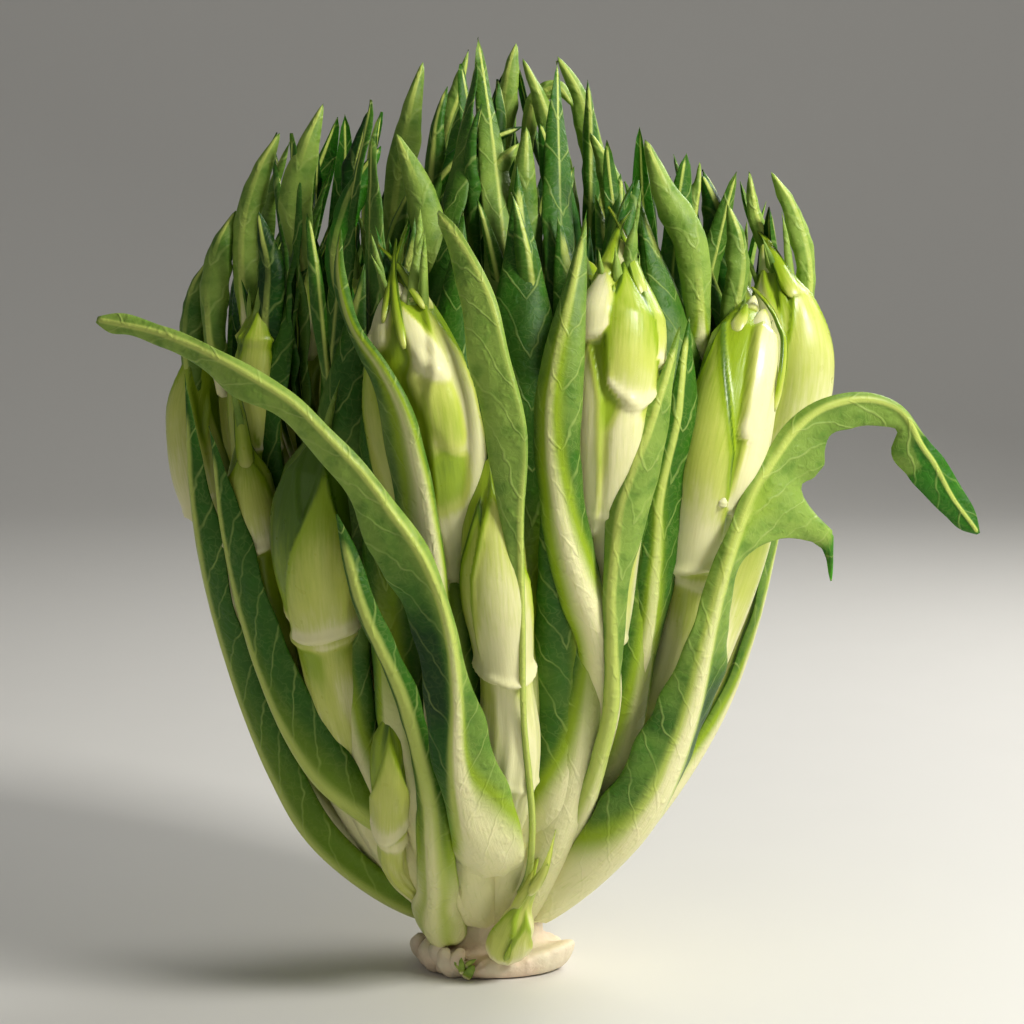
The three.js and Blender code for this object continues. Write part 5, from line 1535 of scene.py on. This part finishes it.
# the tall leaves at the head's top. "line" runs from foot to tip in mm, "wide" is the half-width, and
# "face" is the way that the pale outer face looks, in degrees to the right of the front; "inner" leaves
# show their green inner face, and "ruffle" is how much more one waves
crestLook = {
    "shape": (0.45, 0.7, 0.9, 1.0, 0.95, 0.85), "across": 12, "steps": 46, "rib": (1.2, 0.8, 0.6, 0.4),
    "ribHigh": (0.7, 0.6, 0.4, 0.2), "thick": (1.2, 0.6, 0.4), "cup": (0.9, 0.5, 0.35, 0.3),
    "tipLength": 0.3, "tipShape": 0.62, "wave": (0, 0.5, 0.9, 0.6), "pucker": 0.2, "uneven": 0.12,
    "teeth": 0.04, "white": 0.12,
}
crestLeaves = (
    {"line": ((-74, -20, 198), (-76, -20, 222), (-75, -20, 241), (-70, -21, 257), (-65, -22, 268)),
     "wide": 4.2, "tone": 0.8, "face": -20},
    {"line": ((-56, -26, 198), (-57, -26, 226), (-60, -27, 247), (-56, -28, 262), (-51, -28, 277)),
     "wide": 4.8, "tone": 0.9, "face": -15},
    {"line": ((-46, -5, 215), (-44, -5, 240), (-43, -5, 259), (-38, -6, 275)), "wide": 3.2, "tone": 0.3,
     "face": 30, "inner": True},
    {"line": ((-31, -10, 212), (-30, -10, 240), (-28, -10, 256), (-25, -10, 272), (-21, -9, 290)),
     "wide": 4.4, "tone": 0.7, "face": -10},
    {"line": ((-21, 0, 220), (-20, 0, 247), (-16, 0, 267), (-11, 0, 281), (-7, 0, 294)), "wide": 3.0,
     "tone": 0.7, "face": 40},
    {"line": ((0, 0, 232), (2, 0, 254), (4, 0, 270), (6, 0, 283), (8, 1, 296)), "wide": 3.8, "tone": 0.9,
     "face": -25},
    {"line": ((28, -13, 222), (26, -12, 239), (23, -12, 254), (18, -12, 270), (14, -12, 281),
         (10, -11, 291)), "wide": 3.4, "tone": 0.6, "face": 20},
    {"line": ((36, 6, 222), (35, 6, 245), (31, 5, 267), (27, 5, 281), (21, 5, 292)), "wide": 3.9,
     "tone": 0.9, "face": 10},
    {"line": ((11, -4, 255), (12, -5, 269), (15, -6, 279), (21, -8, 282), (26, -10, 276)), "wide": 2.8,
     "tone": 0.9, "face": -10},
    {"line": ((-26, -25, 222), (-22, -28, 240), (-18, -30, 251), (-10, -31, 260), (0, -31, 266),
         (10, -30, 270)), "wide": 2.9, "tone": 0.2, "face": 15, "inner": True},
    {"line": ((-12, -41, 203), (-10, -40, 219), (-8, -39, 234), (-2, -38, 250), (9, -36, 265)), "wide": 5.0,
     "tone": 0.9, "face": -25},
    {"line": ((10, -48, 178), (10, -47, 202), (10, -46, 225), (10, -44, 248), (11, -42, 270)), "wide": 5.6,
     "tone": 0.55, "face": 10},
    {"line": ((26, -41, 203), (25, -39, 222), (23, -37, 239), (19, -35, 256), (15, -34, 271)), "wide": 4.6,
     "tone": 0.5, "face": 20, "inner": True},
    {"line": ((43, -22, 203), (42, -21, 222), (40, -20, 240), (36, -20, 255), (31, -19, 268)), "wide": 4.4,
     "tone": 0.6, "face": 35},
    {"line": ((64, -40, 192), (63, -41, 216), (60, -41, 237), (52, -39, 252), (47, -37, 266)), "wide": 5.0,
     "tone": 0.9, "face": 15},
    {"line": ((57, -15, 205), (60, -15, 227), (62, -15, 242), (65, -16, 259)), "wide": 2.6, "tone": 0.7,
     "face": 50},
    {"line": ((75, -11, 198), (74, -10, 226), (70, -10, 243), (66, -10, 255)), "wide": 5.0, "tone": 0.3,
     "face": 20, "inner": True},
    {"line": ((83, -6, 204), (86, -6, 220), (87, -5, 231), (83, -5, 242), (81, -5, 256)), "wide": 2.5,
     "tone": 0.9, "face": 20},
    {"line": ((97, -6, 196), (99, -6, 212), (99, -6, 226), (95, -5, 242), (88, -5, 256)), "wide": 3.4,
     "tone": 0.9, "face": 30},
    {"line": ((-13, -53, 188), (-14, -52, 209), (-17, -50, 229), (-21, -48, 251), (-28, -46, 268)),
     "wide": 5.2, "tone": 0.85, "face": -5},
    {"line": ((-42, -45, 190), (-43, -44, 211), (-46, -42, 231), (-42, -41, 247), (-33, -38, 264)),
     "wide": 4.2, "tone": 0.6, "face": -25, "inner": True, "ruffle": 1.8},
    {"line": ((-83, -18, 186), (-86, -18, 207), (-85, -18, 226), (-79, -18, 244)), "wide": 4.6, "tone": 0.6,
     "face": -30},
    {"line": ((-91, -8, 176), (-94, -8, 196), (-93, -8, 214), (-88, -8, 229)), "wide": 4.2, "tone": 0.4,
     "face": -40},
    {"line": ((72, -30, 190), (74, -30, 212), (76, -29, 230), (73, -28, 246)), "wide": 4.0, "tone": 0.5,
     "face": 30},
    {"line": ((-66, -30, 186), (-68, -31, 208), (-67, -31, 228), (-71, -30, 244)), "wide": 4.2, "tone": 0.2,
     "face": -20, "inner": True},
)


def buildCrest(look, leaves):
    # each leaf's middle line is a smooth one through its points, and its half-width is wide times the shape
    skins = []
    for count, leaf in enumerate(leaves):
        turn = np.radians(leaf["face"])
        out = (np.sin(turn), -np.cos(turn), 0.1)
        width = np.array(look["shape"]) * leaf["wide"] * mm
        line = pathSpine(np.array(leaf["line"]) * mm, out, width, look["steps"])
        habit = {key: value for key, value in look.items() if key not in ("shape", "steps")}
        habit.update(widen=1.0, tone=leaf["tone"], seed=810 + count)
        habit["turned"] = (-2, -1) if "inner" in leaf else (2, 3)
        habit["wave"] = tuple(height * leaf.get("ruffle", 1) for height in look["wave"])
        skins.append(leafSkin(line, habit))
    for half in range(2):
        buildPiece(f"tallLeaves{half + 1}", skins[half::2], None)
    return len(leaves)


print("tall head leaves grown:", buildCrest(crestLook, crestLeaves))

innerLook = {
    "sources": [f"leaf_back_{count}" for count in range(1, 8)],
    "count": 22, "share": (0.74, 0.86), "widen": 1.7, "tone": (0.0, 0.4),
}


def buildInnerLeaves(look):
    # each is a back leaf's line turned round the axis to its own place and drawn in towards it by share,
    # so that dark blades fill the gaps between the shoots
    rng = np.random.default_rng(31)
    skins = []
    for i in range(look["count"]):
        spine = nodeSpine(look["sources"][i % len(look["sources"])], 44)
        middle = spine["centre"][len(spine["at"]) // 2]
        turn = 2 * np.pi * (i + rng.uniform(-0.3, 0.3)) / look["count"] - np.arctan2(middle[1], middle[0])
        share = rng.uniform(*look["share"])
        round = np.array([[np.cos(turn), np.sin(turn), 0], [-np.sin(turn), np.cos(turn), 0], [0, 0, 1]])
        spine["centre"] = spine["centre"] @ round * [share, share, rng.uniform(0.84, 0.95)]
        spine["out"] = spine["out"] @ round
        leaf = {
            "widen": look["widen"], "tone": rng.uniform(*look["tone"]), "white": 0.24, "across": 8,
            "rib": (4, 2.5, 1.4, 1), "thick": (3, 1.5, 0.6, 0.4), "cup": (1.2, 1.0, 0.8), "seed": 700 + i,
        }
        skins.append(leafSkin(finishSpine(spine), leaf))
    buildPiece("innerLeaves", skins, None)
    return look["count"]


print("inner leaves grown:", buildInnerLeaves(innerLook))
